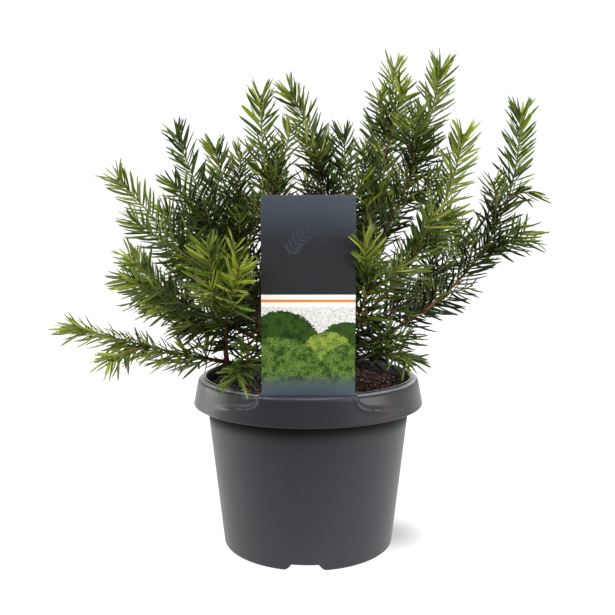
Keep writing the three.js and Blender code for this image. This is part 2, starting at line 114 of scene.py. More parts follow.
class Recipe:
    """One node material in the making."""

    def __init__(self, name: str, roughness: float, gloss: float = 0.5) -> None:
        """Starts a material.

        Args:
            name: the material's name.
            roughness: the shader's roughness.
            gloss: the shader's specular level.
        """
        self.material = bpy.data.materials.new(name)
        self.material.use_nodes = True
        self.tree = self.material.node_tree
        self.shader = self.tree.nodes["Principled BSDF"]
        self.shader.inputs["Roughness"].default_value = roughness
        self.shader.inputs["Specular IOR Level"].default_value = gloss
        self.place = self.node("ShaderNodeTexCoord", {}).outputs["Object"]

    def node(self, kind: str, inputs: dict[str | int, Setting], **settings: Setting) -> bpy.types.Node:
        """Adds a node.

        Args:
            kind: the node's type.
            inputs: what each input is given, by its name or number.
            settings: the node's own settings.

        Returns:
            The new node.
        """
        made = self.tree.nodes.new(kind)
        for name, value in settings.items():
            setattr(made, name, value)
        for name, value in inputs.items():
            if isinstance(value, bpy.types.NodeSocket):
                self.tree.links.new(value, made.inputs[name])
            else:
                made.inputs[name].default_value = value
        return made

    def noise(
        self, scale: float, detail: float = 3, stretch: Sequence[float] = (1, 1, 1)
    ) -> bpy.types.NodeSocket:
        """A noise pattern fixed to the piece.

        Args:
            scale: how many spots there are to a metre.
            detail: how many finer layers are added.
            stretch: the pattern's own scale along each axis.

        Returns:
            The pattern, about 0.3 to 0.7.
        """
        centred = self.node("ShaderNodeMapping", {"Vector": self.place, "Scale": stretch})
        inputs = {"Vector": centred.outputs[0], "Scale": scale, "Detail": detail}
        return self.node("ShaderNodeTexNoise", inputs).outputs["Fac"]

    def share(self, value: Setting, low: float, high: float) -> bpy.types.NodeSocket:
        """Stretches the part of a pattern from low to high over 0 to 1, eased."""
        inputs = {"Value": value, "From Min": low, "From Max": high}
        return self.node("ShaderNodeMapRange", inputs, interpolation_type="SMOOTHSTEP").outputs[0]

    def math(self, operation: str, *values: Setting) -> bpy.types.NodeSocket:
        """One sum on numbers or patterns."""
        return self.node("ShaderNodeMath", dict(enumerate(values)), operation=operation).outputs[0]

    def mixed(self, share: Setting, first: Setting, second: Setting) -> bpy.types.NodeSocket:
        """The colour at a share of the way between two others.

        Args:
            share: 0 for the first colour, 1 for the second.
            first: a colour or a pattern of colour.
            second: a colour or a pattern of colour.

        Returns:
            The mixed colour.
        """
        whole = [(*c, 1.0) if isinstance(c, tuple) else c for c in (first, second)]
        return self.node("ShaderNodeMix", {0: share, 6: whole[0], 7: whole[1]}, data_type="RGBA").outputs[2]

    def finished(
        self,
        colour: Setting,
        relief: Setting | None = None,
        depth: float = 0.1,
        roughness: Setting | None = None,
    ) -> bpy.types.Material:
        """Wires the patterns to the shader.

        Args:
            colour: the base colour's pattern.
            relief: the pattern of the surface's height.
            depth: the relief's height in millimetres.
            roughness: the roughness's pattern.

        Returns:
            The finished material.
        """
        self.tree.links.new(colour, self.shader.inputs["Base Color"])
        if relief is not None:
            inputs = {"Height": relief, "Distance": depth * MM, "Strength": 1.0}
            bumps = self.node("ShaderNodeBump", inputs)
            self.tree.links.new(bumps.outputs[0], self.shader.inputs["Normal"])
        if roughness is not None:
            self.tree.links.new(roughness, self.shader.inputs["Roughness"])
        return self.material


@dataclass(frozen=True)
class LeafFinish:
    """Waxy green of a needle's face: two near greens in small soft patches."""

    name: str
    colour: Colour
    second: Colour
    roughness: float = 0.4
    gloss: float = 0.3
    patch_scale: float = 160  # spots to a metre, as all of the scales are
    grain_scale: float = 1400
    grain_depth: float = 0.03

    def made(self) -> bpy.types.Material:
        """The finish as a node material.

        Returns:
            The material.
        """
        recipe = Recipe(self.name, self.roughness, self.gloss)
        patches = recipe.share(recipe.noise(self.patch_scale, 2), 0.4, 0.6)
        colour = recipe.mixed(patches, self.colour, self.second)
        return recipe.finished(colour, recipe.noise(self.grain_scale, 1), self.grain_depth)


@dataclass(frozen=True)
class BarkFinish:
    """Thin flaky bark: streaks of two browns with pale edges of flakes."""

    name: str
    dark: Colour
    warm: Colour
    pale: Colour
    roughness: float = 0.85
    relief: float = 0.35
    gloss: float = 0.3
    streak_scale: float = 420
    streak_stretch: tuple[float, float, float] = (1, 1, 0.3)
    flake_scale: float = 900

    def made(self) -> bpy.types.Material:
        """The finish as a node material.

        Returns:
            The material.
        """
        recipe = Recipe(self.name, self.roughness, self.gloss)
        streaks = recipe.noise(self.streak_scale, 4, self.streak_stretch)
        flakes = recipe.noise(self.flake_scale, 3)
        brown = recipe.mixed(recipe.share(streaks, 0.38, 0.62), self.dark, self.warm)
        colour = recipe.mixed(recipe.share(flakes, 0.58, 0.75), brown, self.pale)
        height = recipe.math("ADD", streaks, recipe.math("MULTIPLY", flakes, 0.5))
        return recipe.finished(colour, height, self.relief)


@dataclass(frozen=True)
class PlasticFinish:
    """Moulded satin plastic: two near greys, a fine grain and traces of dust."""

    name: str
    colour: Colour
    cloud: Colour
    dust: Colour
    roughness: float = 0.4
    gloss: float = 0.3
    cloud_scale: float = 14
    dust_scale: float = 240
    dust_strength: float = 0.2
    grain_scale: float = 2600
    grain_depth: float = 0.025

    def made(self) -> bpy.types.Material:
        """The finish as a node material."""
        recipe = Recipe(self.name, self.roughness, self.gloss)
        return recipe.finished(self.tint(recipe), recipe.noise(self.grain_scale, 1), self.grain_depth)

    def tint(self, recipe: Recipe) -> bpy.types.NodeSocket:
        """The pattern of its base colour.

        Args:
            recipe: the material in the making.

        Returns:
            The pattern.
        """
        clouds = recipe.share(recipe.noise(self.cloud_scale, 3, (1, 1, 0.5)), 0.35, 0.65)
        specks = recipe.share(recipe.noise(self.dust_scale, 6), 0.6, 0.8)
        dusty = recipe.math("MULTIPLY", specks, self.dust_strength)
        return recipe.mixed(dusty, recipe.mixed(clouds, self.colour, self.cloud), self.dust)


@dataclass(frozen=True)
class WallFinish(PlasticFinish):
    """The same plastic, with the collar's shadow painted on below it: near black and fully rough towards the
    collar.
    """

    # painted shadow under the collar: its colour, and below, the heights between which it sets in
    painted_shadow: Colour = (0.001, 0.001, 0.001)
    shadow_heights: tuple[float, float] = (101, 115)  # the heights between which it sets in
    dull: float = 1.0  # its roughness there

    def made(self) -> bpy.types.Material:
        """The finish as a node material.

        Returns:
            The material.
        """
        recipe = Recipe(self.name, self.roughness, self.gloss)
        height = recipe.node("ShaderNodeSeparateXYZ", {0: recipe.place}).outputs[2]
        # the painted shadow under the collar, rising from the lower height to the upper
        collar_shadow = recipe.share(height, *(edge * MM for edge in self.shadow_heights))
        roughness = recipe.math("MULTIPLY_ADD", collar_shadow, self.dull - self.roughness, self.roughness)
        colour = recipe.mixed(collar_shadow, self.tint(recipe), self.painted_shadow)
        return recipe.finished(colour, recipe.noise(self.grain_scale, 1), self.grain_depth, roughness)


@dataclass(frozen=True)
class CollarFinish(PlasticFinish):
    """The same plastic rubbed smoother, with a faint smear of soil at one place."""

    smear: Colour = (0.12, 0.05, 0.028)
    smear_middle: tuple[float, float, float] = (59, -74, 127)
    smear_reach: float = 15
    smear_scale: float = 110
    smear_strength: float = 0.4

    def tint(self, recipe: Recipe) -> bpy.types.NodeSocket:
        """The pattern of its base colour, with the smear.

        Args:
            recipe: the material in the making.

        Returns:
            The pattern.
        """
        middle = [place * MM for place in self.smear_middle]
        away = recipe.node("ShaderNodeVectorMath", {0: recipe.place, 1: middle}, operation="DISTANCE")
        near = recipe.share(away.outputs["Value"], self.smear_reach * MM, 0)
        patches = recipe.share(recipe.noise(self.smear_scale, 5, (1, 1, 3)), 0.42, 0.66)
        smear = recipe.math("MULTIPLY", recipe.math("MULTIPLY", near, patches), self.smear_strength)
        return recipe.mixed(smear, super().tint(recipe), self.smear)


@dataclass(frozen=True)
class SoilFinish:
    """Moist potting mix: two browns, speckled."""

    name: str
    dark: Colour
    light: Colour
    roughness: float = 0.9
    gloss: float = 0.25
    speck_scale: float = 700
    grain_scale: float = 1500
    grain_depth: float = 0.5

    def made(self) -> bpy.types.Material:
        """The finish as a node material.

        Returns:
            The material.
        """
        recipe = Recipe(self.name, self.roughness, self.gloss)
        specks = recipe.share(recipe.noise(self.speck_scale, 4), 0.42, 0.6)
        colour = recipe.mixed(specks, self.dark, self.light)
        return recipe.finished(colour, recipe.noise(self.grain_scale, 4), self.grain_depth)


class Finishes(Enum):
    """The finishes that more than one piece, or more than one face of a piece, is given."""

    BARK = BarkFinish("flaky_bark", (0.055, 0.026, 0.014), (0.15, 0.065, 0.032), (0.27, 0.15, 0.085))
    YOUNG_BARK = BarkFinish(
        "young_bark", (0.13, 0.085, 0.022), (0.24, 0.13, 0.045), (0.3, 0.2, 0.08), 0.7, 0.15
    )
    GREEN_STEM = BarkFinish(
        "green_stem", (0.15, 0.17, 0.03), (0.23, 0.24, 0.05), (0.33, 0.27, 0.08), 0.6, 0.08
    )
    # the wall, with the collar's shadow painted on below it
    POT = WallFinish(
        "satin_pot_plastic", (0.023, 0.024, 0.029), (0.026, 0.027, 0.033), (0.06, 0.055, 0.05), 0.4, 0.45
    )
    # near-black plastic inside the pot and under its floor, as painted shade
    POT_INSIDE = PlasticFinish(
        "pot_inside_painted_shade", (0.005, 0.005, 0.006), (0.008, 0.007, 0.008), (0.02, 0.015, 0.01)
    )
    # light grey on the rim's flat top beside the pad, as a painted highlight
    POT_CREST = PlasticFinish(
        "pot_crest_painted_highlight", (0.3, 0.3, 0.31), (0.22, 0.22, 0.23), (0.4, 0.39, 0.38), 0.3, 0.5
    )
    # the collar: smoother than the wall, and its colour a little darker than the wall's as painted shade
    POT_COLLAR = CollarFinish(
        "rubbed_pot_plastic_painted_shade", (0.020, 0.021, 0.025), (0.024, 0.025, 0.030), (0.06, 0.055, 0.05), 0.34, 0.34
    )
    SOIL = SoilFinish("moist_potting_mix", (0.005, 0.003, 0.002), (0.016, 0.009, 0.006))
    CRUMB = SoilFinish("soil_crumb", (0.014, 0.008, 0.006), (0.06, 0.034, 0.025))
    REDDISH = SoilFinish("soil_bark_chip", (0.06, 0.028, 0.02), (0.15, 0.075, 0.052))
    PALE = SoilFinish("soil_pale_speck", (0.26, 0.21, 0.12), (0.6, 0.53, 0.38))

    def made(self) -> bpy.types.Material:
        """The finish's material, made once."""
        return bpy.data.materials.get(self.value.name) or self.value.made()


class Tone(Enum):
    """Colour of a spray of needles, from the shaded inside of the crown to its newest tips."""

    DEEP = 0
    DARK = 1
    MID = 2
    FRESH = 3
    YOUNG = 4

    def finishes(self) -> list[LeafFinish]:
        """The finishes of a needle's upper and under face.

        Returns:
            Both, the upper face's first.
        """
        colour, second, under = LEAF_COLOURS[self]
        name = self.name.lower()
        return [
            LeafFinish(f"needle_{name}", colour, second),
            LeafFinish(f"needle_{name}_under", under, under, 0.6, 0.2),
        ]


LEAF_COLOURS = {  # of each tone's upper face, two, and of its under face
    Tone.DEEP: ((0.005, 0.011, 0.001), (0.010, 0.021, 0.002), (0.016, 0.028, 0.006)),
    Tone.DARK: ((0.013, 0.028, 0.002), (0.026, 0.050, 0.004), (0.042, 0.069, 0.014)),
    Tone.MID: ((0.038, 0.071, 0.004), (0.063, 0.108, 0.007), (0.088, 0.128, 0.027)),
    Tone.FRESH: ((0.102, 0.160, 0.008), (0.152, 0.216, 0.014), (0.175, 0.226, 0.042)),
    Tone.YOUNG: ((0.225, 0.280, 0.018), (0.320, 0.362, 0.032), (0.300, 0.340, 0.062)),
}


# ---------------- meshes from small shapes


@dataclass
class Shape:
    """A small mesh as arrays, which is copied many times: its places, its faces and each face's finish."""

    places: np.ndarray
    faces: list[tuple[int, ...]]
    finishes: list[int]

    @classmethod
    def of(cls, mesh: bmesh.types.BMesh) -> "Shape":
        """Reads a bmesh and frees it.

        Args:
            mesh: the bmesh to read.

        Returns:
            Its places, faces and finishes.
        """
        mesh.verts.index_update()
        places = np.array([v.co for v in mesh.verts])
        faces = [tuple(v.index for v in face.verts) for face in mesh.faces]
        finishes = [face.material_index for face in mesh.faces]
        mesh.free()
        return cls(places, faces, finishes)


class Heap:
    """Many small shapes, gathered and then joined into one mesh."""

    def __init__(self) -> None:
        """Starts an empty heap."""
        self.places: list[np.ndarray] = []
        self.faces: list[tuple[int, ...]] = []
        self.finishes: list[int] = []
        self.count = 0

    def add(self, shape: Shape, places: np.ndarray, finish: Callable[[int], int] | None = None) -> None:
        """Adds one copy of a shape.

        Args:
            shape: gives the faces.
            places: where this copy's vertices are.
            finish: gives a face's finish from its number, where it isn't the shape's own.
        """
        self.places.append(places)
        self.faces.extend(tuple(k + self.count for k in face) for face in shape.faces)
        self.finishes.extend([finish(i) for i in range(len(shape.faces))] if finish else shape.finishes)
        self.count += len(places)

    def joined(
        self, name: str, materials: Sequence[bpy.types.Material], sharp: float = 30
    ) -> bpy.types.Object:
        """Joins the heap into one smooth piece, in metres.

        Args:
            name: the piece's name.
            materials: what the faces' finishes stand for.
            sharp: an edge that bends more than this many degrees stays sharp.

        Returns:
            The new object.
        """
        mesh = bpy.data.meshes.new(name)
        mesh.from_pydata(np.concatenate(self.places) * MM, [], self.faces)
        mesh.polygons.foreach_set("material_index", np.array(self.finishes, dtype=np.int32))
        return piece_of(mesh, materials, sharp)


def piece_of(
    mesh: bpy.types.Mesh, materials: Sequence[bpy.types.Material], sharp: float = 30
) -> bpy.types.Object:
    """Makes a mesh a piece of the scene.

    Args:
        mesh: the mesh, in metres.
        materials: its materials in order.
        sharp: an edge that bends more than this many degrees stays sharp.

    Returns:
        The new object, which carries the mesh's name.
    """
    for material in materials:
        mesh.materials.append(material)
    mesh.shade_smooth()
    mesh.set_sharp_from_angle(angle=math.radians(sharp))
    piece = bpy.data.objects.new(mesh.name, mesh)
    bpy.context.scene.collection.objects.link(piece)
    return piece


def written(shape: bmesh.types.BMesh, name: str) -> bpy.types.Mesh:
    """Writes a bmesh in millimetres as a mesh in metres, and frees it.

    Args:
        shape: the bmesh.
        name: the mesh's name.

    Returns:
        The new mesh.
    """
    bmesh.ops.scale(shape, vec=(MM, MM, MM), verts=shape.verts)
    mesh = bpy.data.meshes.new(name)
    shape.to_mesh(mesh)
    shape.free()
    return mesh


def settle(piece: bpy.types.Object, nodes: Sequence[str]) -> None:
    """Puts a finished piece on the plant's one body.

    Args:
        piece: the finished piece.
        nodes: the CAD nodes that it stands for.
    """
    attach(piece, "root")
    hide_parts(*nodes)
    triangles = sum(len(face.vertices) - 2 for face in piece.data.polygons)
    log.info("%s: %d triangles, stands for %d nodes", piece.name, triangles, len(nodes))


def turned(
    corners: Sequence[tuple[float, float, float]], steps: int, fine: float, above: float
) -> bmesh.types.BMesh:
    """Turns a profile about the Z axis.

    Args:
        corners: radius, height and rounding of each corner, from axis to axis.
        steps: how many segments the turn has.
        fine: the profile's edges are cut until none is much longer than this.
        above: the height above which they are cut.

    Returns:
        The closed shape, with its faces pointing outwards.
    """
    shape = bmesh.new()
    points = [shape.verts.new((radius, 0, height)) for radius, height, _ in corners]
    for first, second in zip(points, points[1:]):
        shape.edges.new((first, second))
    for point, (_, _, rounding) in zip(points, corners):
        if rounding:
            bmesh.ops.bevel(
                shape, geom=[point], offset=rounding, affect="VERTICES", segments=4, profile=0.5, material=-1
            )
    for edge in list(shape.edges):
        cuts = int(edge.calc_length() / fine)
        if cuts and max(vert.co.z for vert in edge.verts) > above:
            bmesh.ops.subdivide_edges(shape, edges=[edge], cuts=cuts)
    bmesh.ops.spin(
        shape, geom=shape.verts[:] + shape.edges[:], cent=(0, 0, 0), axis=(0, 0, 1), angle=2 * math.pi,
        steps=steps, use_merge=True,
    )
    bmesh.ops.remove_doubles(shape, verts=shape.verts, dist=0.001)
    bmesh.ops.recalc_face_normals(shape, faces=shape.faces)
    return shape


# ---------------- growth


@dataclass(frozen=True)
class Limb:
    """One limb: where it starts, its curve, the shoots that it carries and the colour of its needles.

    It starts on the trunk at a height, or on another limb's bough at a share of its length. `bend` pulls its
    curve on the way to `tip`, and `wood` is the share that is bare bough. `sides` are side shoots: the share
    of the limb where they leave it, and their own tip. `glow` is how many steps lighter its tips are, and
    `leafy` how close its needles stand for those of other limbs.
    """

    name: str
    on: str
    at: float
    bend: Polar
    tip: Polar
    wood: float
    sides: tuple[tuple[float, Polar], ...]
    twigs: int
    tone: Tone = Tone.DARK
    glow: float = 1
    leafy: float = 1

    @classmethod
    def back(cls, name: str, at: float, heading: float, reach: float, height: float) -> "Limb":
        """A limb at the back of the crown, whose one side shoot points sideways.

        Args:
            name: the limb's name.
            at: the height where it leaves the trunk.
            heading: the tip's heading in degrees.
            reach: the tip's distance from the pot's axis.
            height: the tip's height.

        Returns:
            The limb.
        """
        bend = (heading + 2, 0.76 * reach, mix(at, height, 0.42))
        side = (0.6, (heading + 12, 0.96 * reach, 0.88 * height))
        return cls(name, "trunk", at, bend, (heading, reach, height), 0.33, (side,), 3, Tone.DARK, 2)


LIMBS = (
    Limb("low_left", "trunk", 143, (197, 100, 156), (199, 200, 194), 0.4,
         ((0.42, (205, 91, 181)), (0.5, (209, 104, 175)), (0.66, (205, 175, 159))), 0, Tone.FRESH, 1, 1.25),
    Limb("left_mid", "trunk", 149, (203, 84, 196), (206, 159, 231), 0.36,
         ((0.44, (202, 108, 172)), (0.5, (201, 140, 202)), (0.66, (202, 154, 252))), 1, Tone.MID, 1),
    Limb("left_high", "trunk", 155, (206, 37, 169), (191, 165, 317), 0.4,
         ((0.52, (205, 152, 276)), (0.6, (186, 121, 287))), 2, Tone.MID, 1),
    Limb("left_tall", "trunk", 161, (166, 47, 163), (180, 114, 358), 0.38,
         ((0.62, (199, 116, 305)), (0.55, (168, 87, 312))), 3, Tone.DARK, 1, 1.2),
    Limb("left_inner", "trunk", 167, (153, 65, 223), (163, 85, 343), 0.36,
         ((0.55, (165, 56, 336)),), 2, Tone.MID, 1),
    Limb("front_left", "low_left", 0.86, (222, 90, 196), (245, 108, 244), 0.34,
         ((0.4, (216, 89, 182)),), 3, Tone.MID, 2),
    Limb("left_front", "trunk", 155, (217, 92, 190), (225, 106, 259), 0.4,
         ((0.62, (211, 84, 258)),), 2, Tone.MID, 1),
    Limb("low_droop", "low_left", 0.55, (233, 76, 168), (235, 99, 147), 0.38, (), 1, Tone.MID, 0),
    Limb("centre_left", "trunk", 171, (184, 43, 300), (195, 38, 376), 0.3,
         ((0.36, (169, 11, 354)),), 1, Tone.MID, 1, 0.8),
    Limb("centre", "trunk", 176, (51, 62, 303), (154, 23, 382), 0.3, (), 3, Tone.MID, 2, 0.9),
    Limb("centre_right", "trunk", 167, (70, 56, 234), (79, 57, 352), 0.34, (), 3, Tone.DARK, 1, 0.8),
    Limb("right_slim", "trunk", 172, (20, 44, 252), (30, 32, 352), 0.34, (), 2, Tone.DARK, 1, 0.75),
    Limb("right_inner", "trunk", 162, (36, 96, 264), (44, 79, 363), 0.36,
         ((0.5, (43, 61, 341)),), 3, Tone.DARK, 1, 0.8),
    Limb("right_tall", "trunk", 167, (10, 64, 198), (0, 70, 410), 0.32,
         ((0.76, (349, 78, 383)),), 3, Tone.MID, 2),
    Limb("right_second", "trunk", 162, (350, 92, 278), (346, 107, 396), 0.32,
         ((0.6, (326, 97, 357)),), 3, Tone.MID, 1.3),
    Limb("right_mid", "trunk", 155, (337, 117, 230), (341, 126, 345), 0.28,
         ((0.46, (328, 114, 284)), (0.52, (348, 123, 283))), 1, Tone.MID, 1),
    Limb("far_right", "trunk", 149, (357, 181, 204), (357, 169, 366), 0.22,
         ((0.74, (353, 192, 287)), (0.62, (351, 146, 310)), (0.54, (350, 177, 269)), (0.48, (350, 132, 273))),
         2, Tone.DARK, 1.7, 0.88),
    Limb("front_right", "trunk", 149, (312, 92, 196), (292, 97, 262), 0.4,
         ((0.62, (306, 90, 240)),), 2, Tone.MID, 1),
    Limb("low_right", "trunk", 143, (333, 74, 172), (319, 108, 163), 0.36,
         ((0.5, (312, 84, 194)), (0.62, (332, 94, 172))), 1, Tone.MID, 0, 0.85),
    Limb("front_centre", "trunk", 161, (268, 62, 186), (268, 66, 262), 0.4, (), 2, Tone.DARK, 0),
    Limb.back("back_far_left", 143, 162, 164, 238),
    Limb.back("back_low", 143, 92, 158, 206),
    Limb.back("back_near", 146, 120, 104, 214),
    Limb.back("back_far_right", 149, 26, 158, 256),
    Limb.back("back_left", 149, 138, 138, 284),
    Limb.back("back_mid", 155, 84, 128, 288),
    Limb.back("back_right", 155, 60, 134, 306),
    Limb.back("back_inner", 161, 108, 98, 328),
)


@dataclass(frozen=True)
class Curve:
    """A quadratic curve: it leaves its root towards its bend and comes into its tip from there."""

    root: np.ndarray
    bend: np.ndarray
    tip: np.ndarray

    def at(self, share: float | np.ndarray) -> np.ndarray:
        """The place at a share of the curve.

        Args:
            share: where on the curve, from 0 to 1.

        Returns:
            One place, or one for each share.
        """
        share = np.asarray(share)[..., None]
        rest = 1 - share
        return self.root * rest * rest + self.bend * 2 * rest * share + self.tip * share * share

    def along(self, share: float | np.ndarray) -> np.ndarray:
        """The direction, or directions, at a share, or shares, of the curve."""
        share = np.asarray(share)[..., None]
        return unit((self.bend - self.root) * (1 - share) + (self.tip - self.bend) * share)

    def across(self, share: float | np.ndarray, roll: float | np.ndarray) -> np.ndarray:
        """The direction out of the curve at an angle round it.

        Args:
            share: where on the curve.
            roll: the angle in radians.

        Returns:
            One direction, or one for each share.
        """
        along = self.along(share)
        side = unit(np.cross(along, SIDE_GUIDE))
        roll = np.asarray(roll)[..., None]
        return side * np.cos(roll) + np.cross(side, along) * np.sin(roll)

    def length(self) -> float:
        """The curve's length."""
        return float(np.linalg.norm(np.diff(self.at(np.linspace(0, 1, 201)), axis=0), axis=1).sum())


class Order(Enum):
    """What a leafy stem is: a bough, leader, side shoot, twig or spur, or an inner spur on a bough."""

    BOUGH = 0
    LEADER = 1
    SIDE = 2
    TWIG = 3
    SPUR = 4
    INNER = 5


@dataclass(frozen=True)
class Stem:
    """A leafy stretch of a curve, from share `start` to `end`. Its first `bare` share has no needles."""

    limb: Limb
    order: Order
    curve: Curve
    start: float
    end: float
    radius: float
    bare: float

    def end_needle(self) -> np.ndarray:
        """Where the needle that ends the stem in the part's source has its tip."""
        return self.curve.at(self.end) + self.curve.along(self.end) * Growth.end_needle


COLLAR_ROOM = (81.4, 97, 145)  # the ring that stems stay out of: its radii and its top
SOIL_ROOM = 138  # the height that they stay above
LABEL_ROOM = 3  # how clear they stay of the label's sides and top
LABEL_DEPTH = 3.5  # and how clear of its middle, before and behind


def keeps_out(places: np.ndarray, ease: float = 0) -> np.ndarray:
    """Which places are inside, or close to, the pot, the soil or the label.

    Args:
        places: one place to a row.
        ease: how much closer than a stem a place may come.

    Returns:
        True for each place that is too close.
    """
    x, y, z = places.T
    reach = np.hypot(x, y)
    inside, outside, top = COLLAR_ROOM
    over_collar = (reach > inside + ease) & (reach < outside - ease) & (z < top - ease)
    wide, high = PlantLabel.width / 2 + LABEL_ROOM, PlantLabel.top + LABEL_ROOM
    before_label = (np.abs(y - PlantLabel.front) < LABEL_DEPTH - ease) & (np.abs(x) < wide - ease)
    return over_collar | (z < SOIL_ROOM - ease) | (before_label & (z < high - ease))


class Space:
    """The space that wood takes: segments with a radius, each owned by a limb or a bough."""

    def __init__(self) -> None:
        """Starts with nothing taken."""
        self.starts = np.empty((0, 3))
        self.ends = np.empty((0, 3))
        self.radii = np.empty(0)
        self.owners = np.empty(0, dtype=object)

    def take(self, points: np.ndarray, radius: float, owner: str) -> None:
        """Takes a row of segments.

        Args:
            points: the row's points.
            radius: how thick it is.
            owner: whose it is.
        """
        count = len(points) - 1
        self.starts = np.vstack((self.starts, points[:-1]))
        self.ends = np.vstack((self.ends, points[1:]))
        self.radii = np.append(self.radii, np.full(count, radius))
        self.owners = np.append(self.owners, np.array([owner] * count, dtype=object))

    def take_stem(self, stem: Stem, clearance: float) -> None:
        """Takes a stem and the needle that ends it.

        Args:
            stem: the stem.
            clearance: kept round it for the roots of its needles.
        """
        shares = np.linspace(mix(stem.start, stem.end, stem.bare), stem.end, 9)
        self.take(stem.curve.at(shares), stem.radius + clearance, stem.limb.name)
        self.take(np.array((stem.curve.at(stem.end), stem.end_needle())), stem.radius, stem.limb.name)

    def is_free(self, start: np.ndarray, end: np.ndarray, radius: float, owner: str) -> bool:
        """Whether a segment keeps clear of the pot and of what others own.

        Args:
            start: one end.
            end: the other end.
            radius: the room that it needs.
            owner: whose it is.

        Returns:
            True where it is free.
        """
        if keeps_out(start + (end - start) * np.array((0.25, 0.5, 0.75, 1.0))[:, None]).any():
            return False
        others = self.owners != owner
        gaps = self.gaps(start, end, self.starts[others], self.ends[others])
        return bool((gaps > radius + self.radii[others] + GAP).all())

    @staticmethod
    def gaps(start: np.ndarray, end: np.ndarray, starts: np.ndarray, ends: np.ndarray) -> np.ndarray:
        """The shortest distances from one segment to many.

        Args:
            start: one end of the segment.
            end: its other end.
            starts: one end of each other segment.
            ends: the other end of each.

        Returns:
            A distance for each.
        """
        first, second, between = end - start, ends - starts, start - starts
        aa, bb, ab = first @ first, (second * second).sum(1), second @ first
        spread = aa * bb - ab * ab
        second_between, first_between = (second * between).sum(1), between @ first
        s = np.clip((ab * second_between - bb * first_between) / np.maximum(spread, 1e-9), 0, 1)
        s = np.where(spread > 1e-9, s, 0)
        t = np.clip((ab * s + second_between) / bb, 0, 1)
        s = np.clip((ab * t - first_between) / aa, 0, 1)
        return np.linalg.norm(between + first * s[:, None] - second * t[:, None], axis=1)


